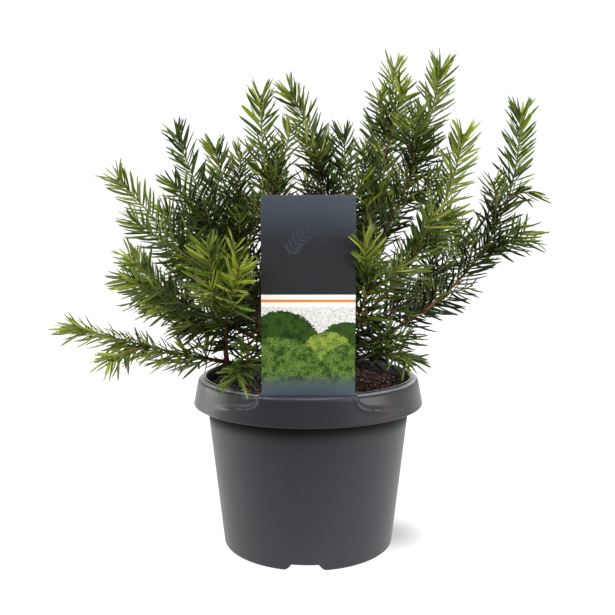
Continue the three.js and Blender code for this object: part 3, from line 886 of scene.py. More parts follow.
@dataclass
class Growth:
    """Grows the plant's stems by the rule of the part's source, and then carries it on to spurs.

    A stretch is the share of a stem along which its twigs or spurs stand, from a first share on.
    """

    end_needle = 13.0
    trunk = Curve(*(np.array(p) for p in ((0.0, 0.0, 134.3), (-1.5, 0.5, 155.15), (-3.0, 1.0, 176.0))))
    trunk_radius: float = 6.2
    bough_radii: tuple[float, float] = (2.3, 1.6)
    leader_bare: float = 0.03
    shoot_bare: float = 0.12
    side_radius: float = 1.4
    side_lead: float = 0.3  # how far a side shoot keeps its limb's direction, for the distance to its tip
    side_bend: float = 0.35
    twig_radius: float = 1.3
    twig_length: tuple[float, float] = (24, 42)
    twig_taper: tuple[float, float] = (1.2, 0.5)  # the length at the limb's root, and its loss to the tip
    twig_stretch: tuple[float, float] = (0.04, 0.5)
    twig_spread: float = math.radians(42)
    twig_bend: tuple[float, float] = (0.45, 0.55)  # forwards and sideways, for the twig's own reach
    twig_tip: tuple[float, float] = (1.1, 0.95)
    twig_lift: float = 0.1
    clearance: float = 1.0
    spur_length: tuple[float, float] = (17, 32)
    spur_taper: tuple[float, float] = (1.15, 0.5)
    spur_spacing: tuple[float, float] = (13, 9.5)  # on a stem and on a bough, as the next one is
    spur_stretch: tuple[float, float] = (0.52, 0.95)
    spur_first: float = 0.02
    spur_spread: float = math.radians(34)
    spur_radius: float = 0.75
    spur_room: float = 0.2
    spur_levelling: float = 0.75  # how far a spur on a level stem is laid level
    spur_sag: float = 0.4
    sleeve_start: float = 0.3  # the share of a bough from which it has needles
    sleeve_radius: float = 1.8
    curves: dict[str, Curve] = field(default_factory=dict)
    stems: list[Stem] = field(default_factory=list)
    space: Space = field(default_factory=Space)

    def grow(self) -> None:
        """Grows every curve and stem, in the source's order."""
        self.space.take(self.trunk.at(np.linspace(0, 1, 9)), self.trunk_radius, "trunk")
        for limb in LIMBS:
            self.curves[limb.name] = self.limb_curve(limb)
        leaders = [self.leader(limb) for limb in LIMBS]
        for number, leader in enumerate(leaders):
            self.grow_shoots(leader, RandomStream(number + 1))
        sleeves = [
            Stem(
                limb, Order.BOUGH, self.curves[limb.name], self.sleeve_start * limb.wood, limb.wood,
                self.sleeve_radius, 0,
            )
            for limb in LIMBS
        ]
        for number, stem in enumerate([*self.stems, *sleeves]):
            self.grow_spurs(stem, RandomStream(number + 501))
        self.stems += sleeves
        log.info("%d stems", len(self.stems))

    def limb_curve(self, limb: Limb) -> Curve:
        """The limb's curve, with its root on its parent's axis.

        Args:
            limb: the limb.

        Returns:
            Its curve.
        """
        if limb.on == "trunk":
            foot, top = self.trunk.root[2], self.trunk.tip[2]
            root = self.trunk.at((limb.at - foot) / (top - foot))
        else:
            wood = next(other.wood for other in LIMBS if other.name == limb.on)
            root = self.curves[limb.on].at(limb.at * wood)
        return Curve(root, place_of(limb.bend), place_of(limb.tip))

    def leader(self, limb: Limb) -> Stem:
        """Takes the limb's bough and its leafy leader.

        Args:
            limb: the limb.

        Returns:
            The leader, which starts a hair's breadth past the bough's end.
        """
        curve = self.curves[limb.name]
        self.space.take(curve.at(np.linspace(0, limb.wood, 9)), self.bough_radii[0], "bough_" + limb.name)
        length = curve.length()
        start, end = limb.wood + GAP / length, 1 - self.end_needle / length
        stem = Stem(limb, Order.LEADER, curve, start, end, self.bough_radii[1], self.leader_bare)
        self.stems.append(stem)
        self.space.take_stem(stem, self.clearance)
        return stem

    def add_shoot(
        self, limb: Limb, order: Order, curve: Curve, radius: float, room: float, end: float = 1
    ) -> None:
        """Adds a shoot where its space is free.

        Args:
            limb: the limb that it belongs to.
            order: what kind of shoot it is.
            curve: its curve.
            radius: its thickness at its root.
            room: the clearance that it looks for.
            end: the share of its curve where the needle that ends it begins.
        """
        stem = Stem(limb, order, curve, 0, end, radius, self.shoot_bare)
        places = [*(curve.at(share * end) for share in (0.2, 0.6, 1)), stem.end_needle()]
        owner = limb.name
        if all(self.space.is_free(a, b, radius + room, owner) for a, b in zip(places, places[1:])):
            self.stems.append(stem)
            self.space.take_stem(stem, self.clearance if radius > self.spur_radius else 0)

    def grow_shoots(self, leader: Stem, random: RandomStream) -> None:
        """Grows the source's side shoots and twigs on a leader.

        Args:
            leader: the limb's leader.
            random: the limb's own stream.
        """
        limb, curve = leader.limb, leader.curve
        for share, polar in limb.sides:
            root, tip = curve.at(share), place_of(polar)
            towards = root + curve.along(share) * (np.linalg.norm(tip - root) * self.side_lead)
            shoot = Curve(root, towards + (tip - towards) * self.side_bend, tip)
            end = 1 - self.end_needle / shoot.length()
            self.add_shoot(limb, Order.SIDE, shoot, self.side_radius, 2 * self.clearance, end)
        first, stretch = self.twig_stretch
        whole, lost = self.twig_taper
        for i in range(limb.twigs):
            share = mix(leader.start, leader.end, first + stretch * (i + random.next()) / limb.twigs)
            length = mix(*self.twig_length, random.next()) * (whole - lost * share)
            roll = i * GOLDEN_ANGLE + 1.5 * random.next()
            twig = self.twig_curve(curve, share, roll, length, self.twig_spread)
            self.add_shoot(limb, Order.TWIG, twig, self.twig_radius, 2 * self.clearance)

    def twig_curve(self, curve: Curve, share: float, roll: float, length: float, spread: float) -> Curve:
        """A twig's curve: it leaves its limb sideways, and turns forwards and a little upwards.

        Args:
            curve: the curve that it grows from.
            share: where on that curve.
            roll: the angle round that curve, in radians.
            length: the twig's length.
            spread: the angle at which it leaves that curve, in radians.

        Returns:
            Its curve.
        """
        root, along, outward = curve.at(share), curve.along(share), curve.across(share, roll)
        forwards, sideways = length * math.cos(spread), length * math.sin(spread)
        bend = root + along * self.twig_bend[0] * forwards + outward * self.twig_bend[1] * sideways
        tip = root + along * self.twig_tip[0] * forwards + outward * self.twig_tip[1] * sideways
        return Curve(root, bend, tip + np.array((0, 0, self.twig_lift * length)))

    def grow_spurs(self, stem: Stem, random: RandomStream) -> None:
        """Carries the rule on: short spurs on a stem, where there is room between the others.

        Args:
            stem: the stem that they grow from.
            random: the stem's own stream.
        """
        length = stem.curve.length() * (stem.end - stem.start)
        inner = stem.order is Order.BOUGH
        order = Order.INNER if inner else Order.SPUR
        first, stretch = self.spur_first, self.spur_stretch[inner]
        whole, lost = self.spur_taper
        count = int(length * stretch / self.spur_spacing[inner])
        for i in range(count):
            share = mix(stem.start, stem.end, first + (stretch - first) * (i + random.next()) / count)
            reach = mix(*self.spur_length, random.next()) * (whole - lost * share)
            roll = i * GOLDEN_ANGLE + 6.3 * random.next()
            spur = self.twig_curve(stem.curve, share, roll, reach, self.spur_spread)
            level = 1 - stem.curve.along(share)[2] ** 2
            rise = (spur.tip - spur.root)[2] * self.spur_levelling * level**2
            spur = Curve(spur.root, spur.bend - (0, 0, self.spur_sag * rise), spur.tip - (0, 0, rise))
            self.add_shoot(stem.limb, order, spur, self.spur_radius, self.spur_room)


# ---------------- wood


@dataclass
class Wood:
    """The trunk and boughs with their bark, and the finer stems of the masses."""

    growth: Growth
    flare_radius: float = 10
    flare_height: float = 9
    top_radius: float = 4.6
    stem_tip_radius: float = 0.55
    bud_length: float = 3.2
    bud_width: float = 1.5
    trunk_grid: tuple[int, int] = (28, 34)  # sides and rings
    bough_sides: int = 12
    bough_ring: float = 1.6
    stem_grid: tuple[int, int] = (7, 14)
    spur_grid: tuple[int, int] = (5, 5)
    trunk_relief: tuple[float, float, float] = (0.7, 2.6, 3.5)  # depth, grain and stretch, for relief()
    bough_relief: tuple[float, float, float] = (0.28, 1.5, 2)
    stem_relief: tuple[float, float, float] = (0.12, 1.1, 1.5)
    brown: dict[Order, float] = field(  # the share of a stem that has old bark
        default_factory=lambda: {Order.LEADER: 0.14, Order.SIDE: 0.12, Order.TWIG: 0.1, Order.INNER: 1.0}
    )
    young: float = 0.3  # the share that follows it in young bark

    @staticmethod
    def rod(sides: int, rings: int) -> Shape:
        """A closed rod of radius 1 from z 0 to z 1, which is bent along a curve later.

        Args:
            sides: how many sides it has.
            rings: how many steps it has along its length.

        Returns:
            The rod, its faces in order from its foot.
        """
        shape = bmesh.new()
        bmesh.ops.create_circle(shape, cap_ends=True, radius=1, segments=sides)
        edges = shape.edges[:]
        for ring in range(rings):
            grown = bmesh.ops.extrude_edge_only(shape, edges=edges)["geom"]
            bmesh.ops.translate(
                shape, vec=(0, 0, 1 / rings), verts=[g for g in grown if isinstance(g, bmesh.types.BMVert)]
            )
            edges = [g for g in grown if isinstance(g, bmesh.types.BMEdge) and g.is_boundary]
        bmesh.ops.edgeloop_fill(shape, edges=edges)
        bmesh.ops.recalc_face_normals(shape, faces=shape.faces)
        return Shape.of(shape)

    @staticmethod
    def bent(rod: Shape, curve: Curve, start: float, end: float, radii: np.ndarray) -> np.ndarray:
        """The rod's places along a curve.

        Args:
            rod: the rod.
            curve: the curve.
            start: the share where its foot is.
            end: the share where its top is.
            radii: the radius at each of its places.

        Returns:
            The places.
        """
        x, y, z = rod.places.T
        shares = start + (end - start) * z
        out = curve.across(shares, np.arctan2(y, x))
        return curve.at(shares) + out * (np.hypot(x, y) * radii)[:, None]

    @staticmethod
    def relief(places: np.ndarray, depth: float, grain: float, stretch: float) -> np.ndarray:
        """How far bark stands out at each place.

        Args:
            places: where.
            depth: the most that it stands out or lies back.
            grain: the size of one ridge or flake.
            stretch: how much longer than wide they are.

        Returns:
            A height for each place.
        """
        heights = []
        for x, y, z in places:
            ridge = noise.noise(Vector((x / grain, y / grain, z / grain / stretch)))
            fine = Vector((x / grain * 2.3, y / grain * 2.3, z / grain * 1.1))
            flake = noise.noise(fine + Vector((9, 4, 2)))
            heights.append(depth * (ridge + 0.5 * flake))
        return np.array(heights)

    def bark(self) -> bpy.types.Object:
        """The trunk and every bough, with the bark's ridges and flakes in the mesh.

        Returns:
            The piece.
        """
        heap = Heap()
        trunk = self.growth.trunk
        rod = self.rod(*self.trunk_grid)
        height = trunk.tip[2] - trunk.root[2]
        shares = rod.places[:, 2]
        flare = np.maximum(0, 1 - shares * height / self.flare_height) ** 2
        radii = self.growth.trunk_radius + (self.top_radius - self.growth.trunk_radius) * shares
        radii = radii + (self.flare_radius - self.growth.trunk_radius) * flare
        smooth = self.bent(rod, trunk, 0, 1, radii)
        radii = radii * (1 - 0.25 * np.maximum(0, shares - 0.9) / 0.1)
        heap.add(rod, self.bent(rod, trunk, 0, 1, radii + self.relief(smooth, *self.trunk_relief)))
        for limb in LIMBS:
            curve = self.growth.curves[limb.name]
            rod = self.rod(self.bough_sides, int(curve.length() * limb.wood / self.bough_ring))
            radii = mix(*self.growth.bough_radii, rod.places[:, 2])
            smooth = self.bent(rod, curve, 0, limb.wood, radii)
            radii = radii + self.relief(smooth, *self.bough_relief)
            heap.add(rod, self.bent(rod, curve, 0, limb.wood, radii))
        return heap.joined("bark_wood", [Finishes.BARK.made()], 50)

    def stems(self) -> bpy.types.Object:
        """Every finer stem, brown at its root and green at its tip, with a bud at its end.

        Returns:
            The piece.
        """
        heap = Heap()
        bud = self.bud()
        for stem in self.growth.stems:
            if stem.order is Order.BOUGH:
                continue
            sides, rings = self.spur_grid if stem.order in (Order.SPUR, Order.INNER) else self.stem_grid
            rod = self.rod(sides, rings)
            radii = mix(stem.radius, self.stem_tip_radius, rod.places[:, 2] ** 0.5)
            places = self.bent(rod, stem.curve, stem.start, stem.end, radii)
            radii = radii + self.relief(places, *self.stem_relief)
            places = self.bent(rod, stem.curve, stem.start, stem.end, radii)
            brown = self.brown.get(stem.order, 0.0)

            def age(face: int, brown: float = brown, sides: int = sides, rings: int = rings) -> int:
                """The finish of a face from how far along the stem it is: bark, young bark or green."""
                share = max(0, face - 1) // sides / rings
                return 0 if share < brown else 1 if share < brown + self.young else 2

            heap.add(rod, places, age)
            heap.add(bud, self.bud_places(bud, stem))
        finishes = [Finishes.BARK, Finishes.YOUNG_BARK, Finishes.GREEN_STEM]
        return heap.joined("green_stems", [finish.made() for finish in finishes], 50)

    def bud(self) -> Shape:
        """A pointed bud along Z, with its foot at the origin.

        Returns:
            The bud, with the young bark's finish.
        """
        shape = bmesh.new()
        bmesh.ops.create_icosphere(shape, subdivisions=1, radius=0.5)
        bmesh.ops.scale(shape, vec=(self.bud_width, self.bud_width, self.bud_length), verts=shape.verts)
        bmesh.ops.translate(shape, vec=(0, 0, 0.35 * self.bud_length), verts=shape.verts)
        for face in shape.faces:
            face.material_index = 1
        return Shape.of(shape)

    def bud_places(self, bud: Shape, stem: Stem) -> np.ndarray:
        """The bud's places at a stem's end.

        Args:
            bud: the bud.
            stem: the stem.

        Returns:
            The places.
        """
        along = stem.curve.along(stem.end)
        side, up = stem.curve.across(stem.end, 0.0), stem.curve.across(stem.end, math.pi / 2)
        return stem.curve.at(stem.end) + bud.places @ np.array((side, up, along))

    def build(self) -> None:
        """Builds and settles both pieces of wood."""
        boughs = ["trunk", *("bough_" + limb.name for limb in LIMBS)]
        settle(self.bark(), boughs)
        settle(self.stems(), ["mass_" + limb.name for limb in LIMBS])


# ---------------- needles


@dataclass
class Foliage:
    """The needles of every stem, joined by tone.

    Where a value has two numbers for stems, the first is for a standing stem and the second for a lying one.
    """

    growth: Growth
    length: tuple[float, float] = (16, 22)
    width: float = 2.45
    thickness: float = 0.9
    outline: tuple[tuple[float, float], ...] = (  # share of the length, and the width there
        (0, 0.45), (0.1, 0.78), (0.36, 1.0), (0.66, 0.96), (0.88, 0.6), (1.0, 0.0)
    )
    least_keel: float = 0.3  # the thickness never falls below this share
    spacing: float = 1.15
    sparse: dict[Order, float] = field(  # how much further apart they are than on a side shoot
        default_factory=lambda: {Order.BOUGH: 1.7, Order.LEADER: 0.92, Order.TWIG: 1.1, Order.SPUR: 1.4}
    )
    fewest: int = 6
    unevenness: float = 0.6
    crowding: tuple[float, float] = (1.3, 1.45)  # towards the tip, on a shoot and on a leader
    tip_start: float = 0.72  # the share of the stretch where its tip begins
    roll_noise: float = 0.3
    combing: tuple[float, float] = (0.22, 0.62)  # how far needles lie in two ranks
    lift: tuple[float, float] = (0.15, 2.2)  # how far they point up, and how much of it a level stem undoes
    spread: float = math.radians(54)
    spread_noise: tuple[float, float] = (0.78, 1.2)
    spread_closing: float = 0.35  # how much narrower it is at the tip
    bough_spread: float = 1.3
    forward_curl: float = 0.4
    rise: tuple[float, float] = (0.5, -0.25)  # how they curve up or down
    bough_rise: float = -0.9
    curl: tuple[float, float] = (0.03, 0.22)
    level_curl: float = 0.08
    curl_noise: float = 0.3
    facing: tuple[float, float, float, float] = (0.5, 0.3, 1.0, 0.3)  # to the tip, outwards, sideways and up
    facing_noise: float = 0.32
    size: dict[Order, float] = field(  # of the needles of each order, for those of a side shoot
        default_factory=lambda: {Order.LEADER: 1.08, Order.BOUGH: 0.85, Order.SPUR: 0.85, Order.INNER: 0.85}
    )
    tip_shortening: float = 0.15
    upper_shortening: float = 0.4  # above a stem that lies level
    hanging_lengthening: float = 0.2
    clearance: float = 2.4
    inner_shade: tuple[float, float, float] = (1.6, 170, 90)  # its depth, and the reaches of its ends
    foot_shade: tuple[float, float, float] = (0.9, 0.35, 0.3)  # the same, by the share of the stem
    glow_span: tuple[float, float] = (0.5, 0.4)  # the share where the glow sets in, and how far it grows
    # painted light: how many steps lighter needles are on a stem's outer side, and darker on its inner side
    outer_painted_light: float = 0.35
    stem_noise: float = 0.3
    needle_noise: float = 0.55

    def needle(self) -> Shape:
        """One needle of the greatest length along Y: flat beneath, keeled above and pointed.

        Returns:
            The needle, its upper faces with the first finish and its lower ones with the second.
        """
        full = self.length[1]
        shape = bmesh.new()
        foot = bmesh.ops.create_circle(shape, cap_ends=True, radius=1, segments=3)["verts"]
        bmesh.ops.rotate(shape, cent=(0, 0, 0), matrix=Matrix.Rotation(math.pi / 2, 3, "X"), verts=foot)
        bmesh.ops.translate(shape, vec=(0, 0, 0.5), verts=foot)
        bmesh.ops.scale(shape, vec=(self.width / math.sqrt(3), 1, self.thickness / 1.5), verts=foot)
        edges, share, size = shape.edges[:], 0.0, 1.0
        for step, (next_share, next_size) in enumerate(self.outline):
            verts = shape.verts[:]
            if step:
                grown = bmesh.ops.extrude_edge_only(shape, edges=edges)["geom"]
                verts = [g for g in grown if isinstance(g, bmesh.types.BMVert)]
                edges = [g for g in grown if isinstance(g, bmesh.types.BMEdge) and g.is_boundary]
            bmesh.ops.translate(shape, vec=(0, (next_share - share) * full, 0), verts=verts)
            keel = max(next_size, self.least_keel) / max(size, self.least_keel)
            bmesh.ops.scale(shape, vec=(next_size / size, 1, keel), verts=verts)
            share, size = next_share, next_size
        bmesh.ops.pointmerge(shape, verts=verts, merge_co=(0, full, 0))
        bmesh.ops.recalc_face_normals(shape, faces=shape.faces)
        for face in shape.faces:
            face.material_index = 1 if face.normal.z < -0.5 else 0
        return Shape.of(shape)

    def tones_of(
        self, stem: Stem, share: np.ndarray, reach: np.ndarray, outer: np.ndarray, random: np.random.Generator
    ) -> list[Tone]:
        """The needles' tones: their limb's own, lighter at the tip, lighter on a stem's outer side as painted
        light, and darker inside the crown as painted shade.

        Args:
            stem: the stem.
            share: how far along the stem each needle is.
            reach: how far from the pot's axis it is.
            outer: how far it points away from the crown's inside, from -1 to 1.
            random: the stem's own numbers.

        Returns:
            The tone of each needle.
        """
        limb = stem.limb
        inner = stem.order in (Order.BOUGH, Order.INNER)
        base = min(limb.tone.value, Tone.MID.value) if inner else limb.tone.value
        if stem.order is Order.SPUR:
            base -= int(random.random() < 0.5)
        depth, end, span = self.inner_shade if inner else self.foot_shade
        shade = depth * np.clip((end - (reach if inner else share)) / span, 0, 1)
        start, span = self.glow_span
        glow = 0 if inner else limb.glow * np.clip((share - start) / span, 0, 1)
        values = base + glow - shade + self.outer_painted_light * outer
        values = values + random.normal(0, self.stem_noise) + random.normal(0, self.needle_noise, len(share))
        return [Tone(int(value)) for value in np.clip(np.rint(values), Tone.DEEP.value, Tone.YOUNG.value)]

    def placed(self, stem: Stem, random: np.random.Generator) -> np.ndarray:
        """Where needles stand along a stem, closer together towards its tip.

        Args:
            stem: the stem.
            random: the stem's own numbers.

        Returns:
            Shares of the stem.
        """
        length = stem.curve.length() * (stem.end - stem.start)
        apart = self.spacing * self.sparse.get(stem.order, 1.0) / stem.limb.leafy
        count = max(self.fewest, int(length * (1 - stem.bare) / apart))
        even = (np.arange(count) + random.uniform(0, self.unevenness, count)) / count
        return stem.bare + (1 - stem.bare) * (1 - (1 - even) ** self.crowding[stem.order is Order.LEADER])

    def aimed(
        self, stem: Stem, own: np.ndarray, tip: np.ndarray, random: np.random.Generator
    ) -> tuple[np.ndarray, np.ndarray, np.ndarray, np.ndarray]:
        """How needles are held: spread about a standing stem, and combed to both sides of a lying one.

        Args:
            stem: the stem.
            own: the share of the stem where each needle stands.
            tip: how far each is within the stem's tip, from 0 to 1.
            random: the stem's own numbers.

        Returns:
            For each needle, the directions out of the stem, along it, of its curl and of its upper face.
        """
        count, bough = len(own), stem.order is Order.BOUGH
        shares = stem.start + (stem.end - stem.start) * own
        along = stem.curve.along(shares)
        roll = random.uniform(0, 6.3) + np.arange(count) * GOLDEN_ANGLE
        roll = roll + random.normal(0, self.roll_noise, count)
        outward = stem.curve.across(shares, roll)
        level = 1 - along[:, 2:3] ** 2  # 1 where the stem lies level, 0 where it stands
        lying = level**3
        flat = unit(np.array((1.0, 0.02, 0)) - along * along[:, :1])
        rank = np.sign((outward * flat).sum(1, keepdims=True))
        comb = mix(*self.combing, lying)
        lift = (0, 0, self.lift[0]) * (level - self.lift[1] * lying)
        outward = unit(outward * (1 - comb) + flat * rank * comb + lift)

        spread = self.spread * (1 - self.spread_closing * tip**2) * random.uniform(*self.spread_noise, count)
        spread = (spread * (self.bough_spread if bough else 1))[:, None]
        ahead = along * np.cos(spread) + outward * np.sin(spread)
        rise = np.array((0, 0, 1)) * level * (self.bough_rise if bough else mix(*self.rise, lying))
        curl = along * self.forward_curl + rise + random.normal(0, self.curl_noise, (count, 3))
        curl = unit(curl - ahead * (curl * ahead).sum(1, keepdims=True))
        curl = curl * (random.uniform(*self.curl, count)[:, None] + self.level_curl * level)

        to_tip, to_outside, to_side, up = self.facing
        face = along * np.sin(spread) - outward * np.cos(spread)
        outside = unit(stem.curve.at(stem.end) * (1, 1, 0))
        sideways = np.sign((outward * FRONT).sum(1, keepdims=True)) * FRONT
        face = face * to_tip + outside * to_outside + sideways * to_side + (0, 0, up)
        face = face + random.normal(0, self.facing_noise, (count, 3))
        return outward, ahead, curl, unit(face - ahead * (face * ahead).sum(1, keepdims=True))

    def clothe(self, stem: Stem, needle: Shape, heaps: dict[Tone, Heap], seed: int) -> None:
        """Puts a stem's needles on the heaps of their tones, but for those that would touch the pot or label.

        Args:
            stem: the stem.
            needle: the needle.
            heaps: one heap for each tone.
            seed: the stem's own seed.
        """
        random = np.random.default_rng(seed)
        own = self.placed(stem, random)
        tip = np.clip((own - self.tip_start) / (1 - self.tip_start), 0, 1)
        outward, ahead, curl, face = self.aimed(stem, own, tip, random)
        shares = stem.start + (stem.end - stem.start) * own
        level = 1 - stem.curve.along(shares)[:, 2] ** 2

        full = self.length[1]
        sizes = random.uniform(*self.length, len(own)) / full * (1 - self.tip_shortening * tip**2)
        sizes = sizes * self.size.get(stem.order, 1.0)
        above = self.upper_shortening * level**3 * np.clip(outward[:, 2], 0, 1)
        sizes = sizes * (1 - above + self.hanging_lengthening * level * np.clip(-outward[:, 2], 0, 1))
        radii = mix(stem.radius, 0.5, own) * 0.6
        roots = stem.curve.at(shares) + outward * radii[:, None]
        outside = unit(stem.curve.at(stem.end) * (1, 1, 0))
        tones = self.tones_of(stem, own, np.hypot(*roots.T[:2]), (outward * outside).sum(1), random)

        clear = np.ones(len(own), dtype=bool)
        for part in np.linspace(0.15, 1, 12):
            there = roots + (ahead * part + curl * part**2) * (sizes * full)[:, None]
            clear &= ~keeps_out(there, self.clearance)
        bow = (needle.places[:, 1:2] / full) ** 2 * full
        for i in np.flatnonzero(clear):
            turn = np.array((np.cross(ahead[i], face[i]), ahead[i], face[i]))
            places = roots[i] + (needle.places @ turn + bow * curl[i]) * sizes[i]
            heaps[tones[i]].add(needle, places)

    def build(self) -> None:
        """Clothes every stem, and settles one piece of needles for each tone."""
        needle = self.needle()
        heaps = {tone: Heap() for tone in Tone}
        for number, stem in enumerate(self.growth.stems):
            self.clothe(stem, needle, heaps, 9000 + number)
        for tone, heap in heaps.items():
            materials = [finish.made() for finish in tone.finishes()]
            piece = heap.joined(f"needles_{tone.name.lower()}", materials, 25)
            settle(piece, ["mass_" + limb.name for limb in LIMBS if limb.tone is tone])


# ---------------- pot, soil and label


@dataclass
class NurseryPot:
    """The moulded pot: a tapered wall, a rolled collar with a raised pad in front, a foot ring and drains."""

    height: float = 142
    foot_radius: float = 70.7
    wall_slope: float = (86.6 - 70.7) / 142
    mouth_radius: float = 84.4
    collar_radius: float = 94.8
    collar_edge: float = 118.6
    wall: float = 1.8
    channel: float = 6  # height of the channel under the floor
    middle_foot: float = 48
    steps: int = 400
    fine: float = 1.3  # the longest edge of the collar's profile
    sharp: float = 38  # an edge that bends more than this many degrees stays sharp
    pad_half_width: float = 37
    lean: float = 4.2  # how far the collar's crest lies back beside the pad
    crest_drop: float = 1.1  # how much lower the crest's outside is there
    # the crest's own finish is its painted highlight
    crest_height: float = 3  # the depth of the crest's own finish
    step_foot: float = 130  # height of the step that the pad sends out beside it
    step_sink: float = 5  # how much lower its foot is where it has run out
    step_corner: tuple[float, float] = (14, 9)  # its rounding, along and up
    step_width: float = 3.2
    step_fade: tuple[float, float] = (18, 52)  # distances from the pad between which the step runs out
    bead: float = 0.5  # how far the step's edge stands proud
    bead_width: float = 2
    notch: tuple[tuple[float, float], ...] = (  # half its outline, across and up
        (10.6, 5.5), (11.8, 3.9), (13.1, 2.5), (14.6, 1.2), (16.3, 0.4), (19, -1)
    )
    notch_depth: float = 10
    notch_turn: float = -2
    drain_radius: float = 5
    drain_depth: float = 4
    drain_at: float = 60.5
    slot_depth: float = 30
    finishes: tuple[Finishes, ...] = (
        Finishes.POT, Finishes.POT_INSIDE, Finishes.POT_CREST, Finishes.POT_COLLAR
    )

    def outside(self, height: float) -> float:
        """Outside radius of the wall at a height."""
        return self.foot_radius + self.wall_slope * height

    def corners(self) -> list[tuple[float, float, float]]:
        """The profile's corners, from the middle of the underside to the middle of the floor.

        Returns:
            The radius, height and rounding of each.
        """
        top, edge, out, wall = self.height, self.collar_edge, self.collar_radius, self.wall
        floor, inner = self.channel + wall, self.middle_foot
        underside = [
            (0, 0, 0), (inner, 0, 0.8), (inner + 4, self.channel, 0.8),
            (self.outside(self.channel) - wall, self.channel, 0.5), (self.outside(0) - wall, 0, 0.3),
        ]
        outside = [
            (self.outside(0), 0, 2.2), (self.outside(edge - 2), edge - 2, 0),
            (self.outside(top - 9), top - 9, 0.6),
        ]
        collar = [
            (out - 5.5, top - 8, 0.6), (out - 2, edge, 0.4), (out + 0.2, edge, 1.3), (out, top, 3.4),
            (self.mouth_radius, top, 1.4),
        ]
        inside = [
            (self.outside(floor) - wall, floor, 1.0), (inner + 5, floor, 0.6), (inner + 1, wall, 0.6),
            (0, wall, 0),
        ]
        return underside + outside + collar + inside

    def laid_back(self, across: float, height: float) -> float:
        """How far the collar lies back: not at all on the pad, and more towards the crest beside it.

        Args:
            across: distance from the pad's middle along the collar.
            height: height above the foot.

        Returns:
            The distance that the collar lies back.
        """
        beside = abs(across) - self.pad_half_width
        above = height - self.step_foot + self.step_sink * smooth_share(6, self.step_fade[1], beside)
        wide, tall = self.step_corner
        inside = min(beside, above)
        if beside < wide and above < tall:
            along, up = (wide - beside) / wide, (tall - above) / tall
            size = max(0.01, math.hypot(along, up))
            inside = (1 - size) * size / max(0.001, math.hypot(along / wide, up / tall))
        rise = (height - self.collar_edge) / (self.height - self.collar_edge)
        fade = smooth_share(*self.step_fade, beside)
        step = max(fade, smooth_share(-0.3, self.step_width, inside))
        edge = math.exp(-((inside / self.bead_width) ** 2))
        return self.lean * rise * step - self.bead * (1 - fade) * edge

    def shell(self) -> bmesh.types.BMesh:
        """The turned shell, with its collar laid back beside the pad and its faces' finishes dealt out.

        Returns:
            The shell.
        """
        shape = turned(self.corners(), self.steps, self.fine, self.collar_edge + 1)
        for vert in shape.verts:
            reach = math.hypot(vert.co.x, vert.co.y)
            outer = smooth_share(self.mouth_radius + 1.4, self.collar_radius - 3.4, reach)
            if outer and vert.co.z > self.collar_edge + 1 and not self.under_collar(vert.co, reach):
                angle = math.atan2(vert.co.x, -vert.co.y)
                back = outer * self.laid_back(angle * self.collar_radius, vert.co.z)
                vert.co.xy *= (reach - back) / reach
                drop = self.crest_drop * back / self.lean
                vert.co.z -= drop * smooth_share(self.height - 9, self.height, vert.co.z)
        shape.normal_update()
        for face in shape.faces:
            face.material_index = self.finishes.index(self.finish_of(face))
        return shape

    def finish_of(self, face: bmesh.types.BMFace) -> Finishes:
        """The finish of a face of the shell, from where it is and how it faces.

        Args:
            face: the face.

        Returns:
            Its finish.
        """
        middle = face.calc_center_median()
        reach, wall = math.hypot(middle.x, middle.y), self.outside(middle.z)
        # faces inside the pot and under its floor get the painted shade
        if reach < min(wall - self.wall / 2, self.mouth_radius):
            return Finishes.POT_INSIDE
        across = math.atan2(middle.x, -middle.y) * self.collar_radius
        # the flat top of the crest beside the pad gets the painted highlight
        on_top = middle.z > self.height - self.crest_height and face.normal.z > 0.8
        if on_top and abs(across) > self.pad_half_width:
            return Finishes.POT_CREST
        return Finishes.POT_COLLAR if middle.z > self.collar_edge - 0.5 and reach > wall + 1 else Finishes.POT

    def under_collar(self, place: Vector, reach: float) -> bool:
        """Whether a place is on the collar's hidden inside."""
        return place.z < self.height - 7 and reach < self.collar_radius - 1

    def cutters(self) -> bmesh.types.BMesh:
        """What is cut from the shell: drainage notches, the drain holes behind them and the label's slot.

        Returns:
            The closed shapes that are cut away.
        """
        shape = bmesh.new()
        for quarter in range(4):
            turn = Matrix.Rotation(math.radians(quarter * 90 + self.notch_turn), 4, "Z")
            front = -self.foot_radius - 2
            outline = [(-x, z) for x, z in reversed(self.notch)] + list(self.notch)
            points = [shape.verts.new((x, front, z)) for x, z in outline]
            face = bmesh.ops.contextual_create(shape, geom=points)["faces"]
            grown = bmesh.ops.extrude_face_region(shape, geom=face, use_keep_orig=True)["geom"]
            moved = [g for g in grown if isinstance(g, bmesh.types.BMVert)]
            bmesh.ops.translate(shape, vec=(0, self.notch_depth, 0), verts=moved)
            bmesh.ops.transform(shape, matrix=turn, verts=points + moved)
            drain = Matrix.Translation((0, -self.drain_at, self.notch[0][1] + 2.1))
            bmesh.ops.create_cone(
                shape, cap_ends=True, segments=24, radius1=self.drain_radius, radius2=self.drain_radius,
                depth=self.drain_depth, matrix=turn @ drain,
            )
        bmesh.ops.recalc_face_normals(shape, faces=shape.faces)
        slot = bmesh.ops.create_cube(shape, size=1)["verts"]
        size = (PlantLabel.width + 2 * GAP, PlantLabel.thickness + 2 * GAP, self.slot_depth)
        middle = (0, PlantLabel.front, PlantLabel.bottom - GAP + self.slot_depth / 2)
        bmesh.ops.scale(shape, vec=size, verts=slot)
        bmesh.ops.translate(shape, vec=middle, verts=slot)
        return shape

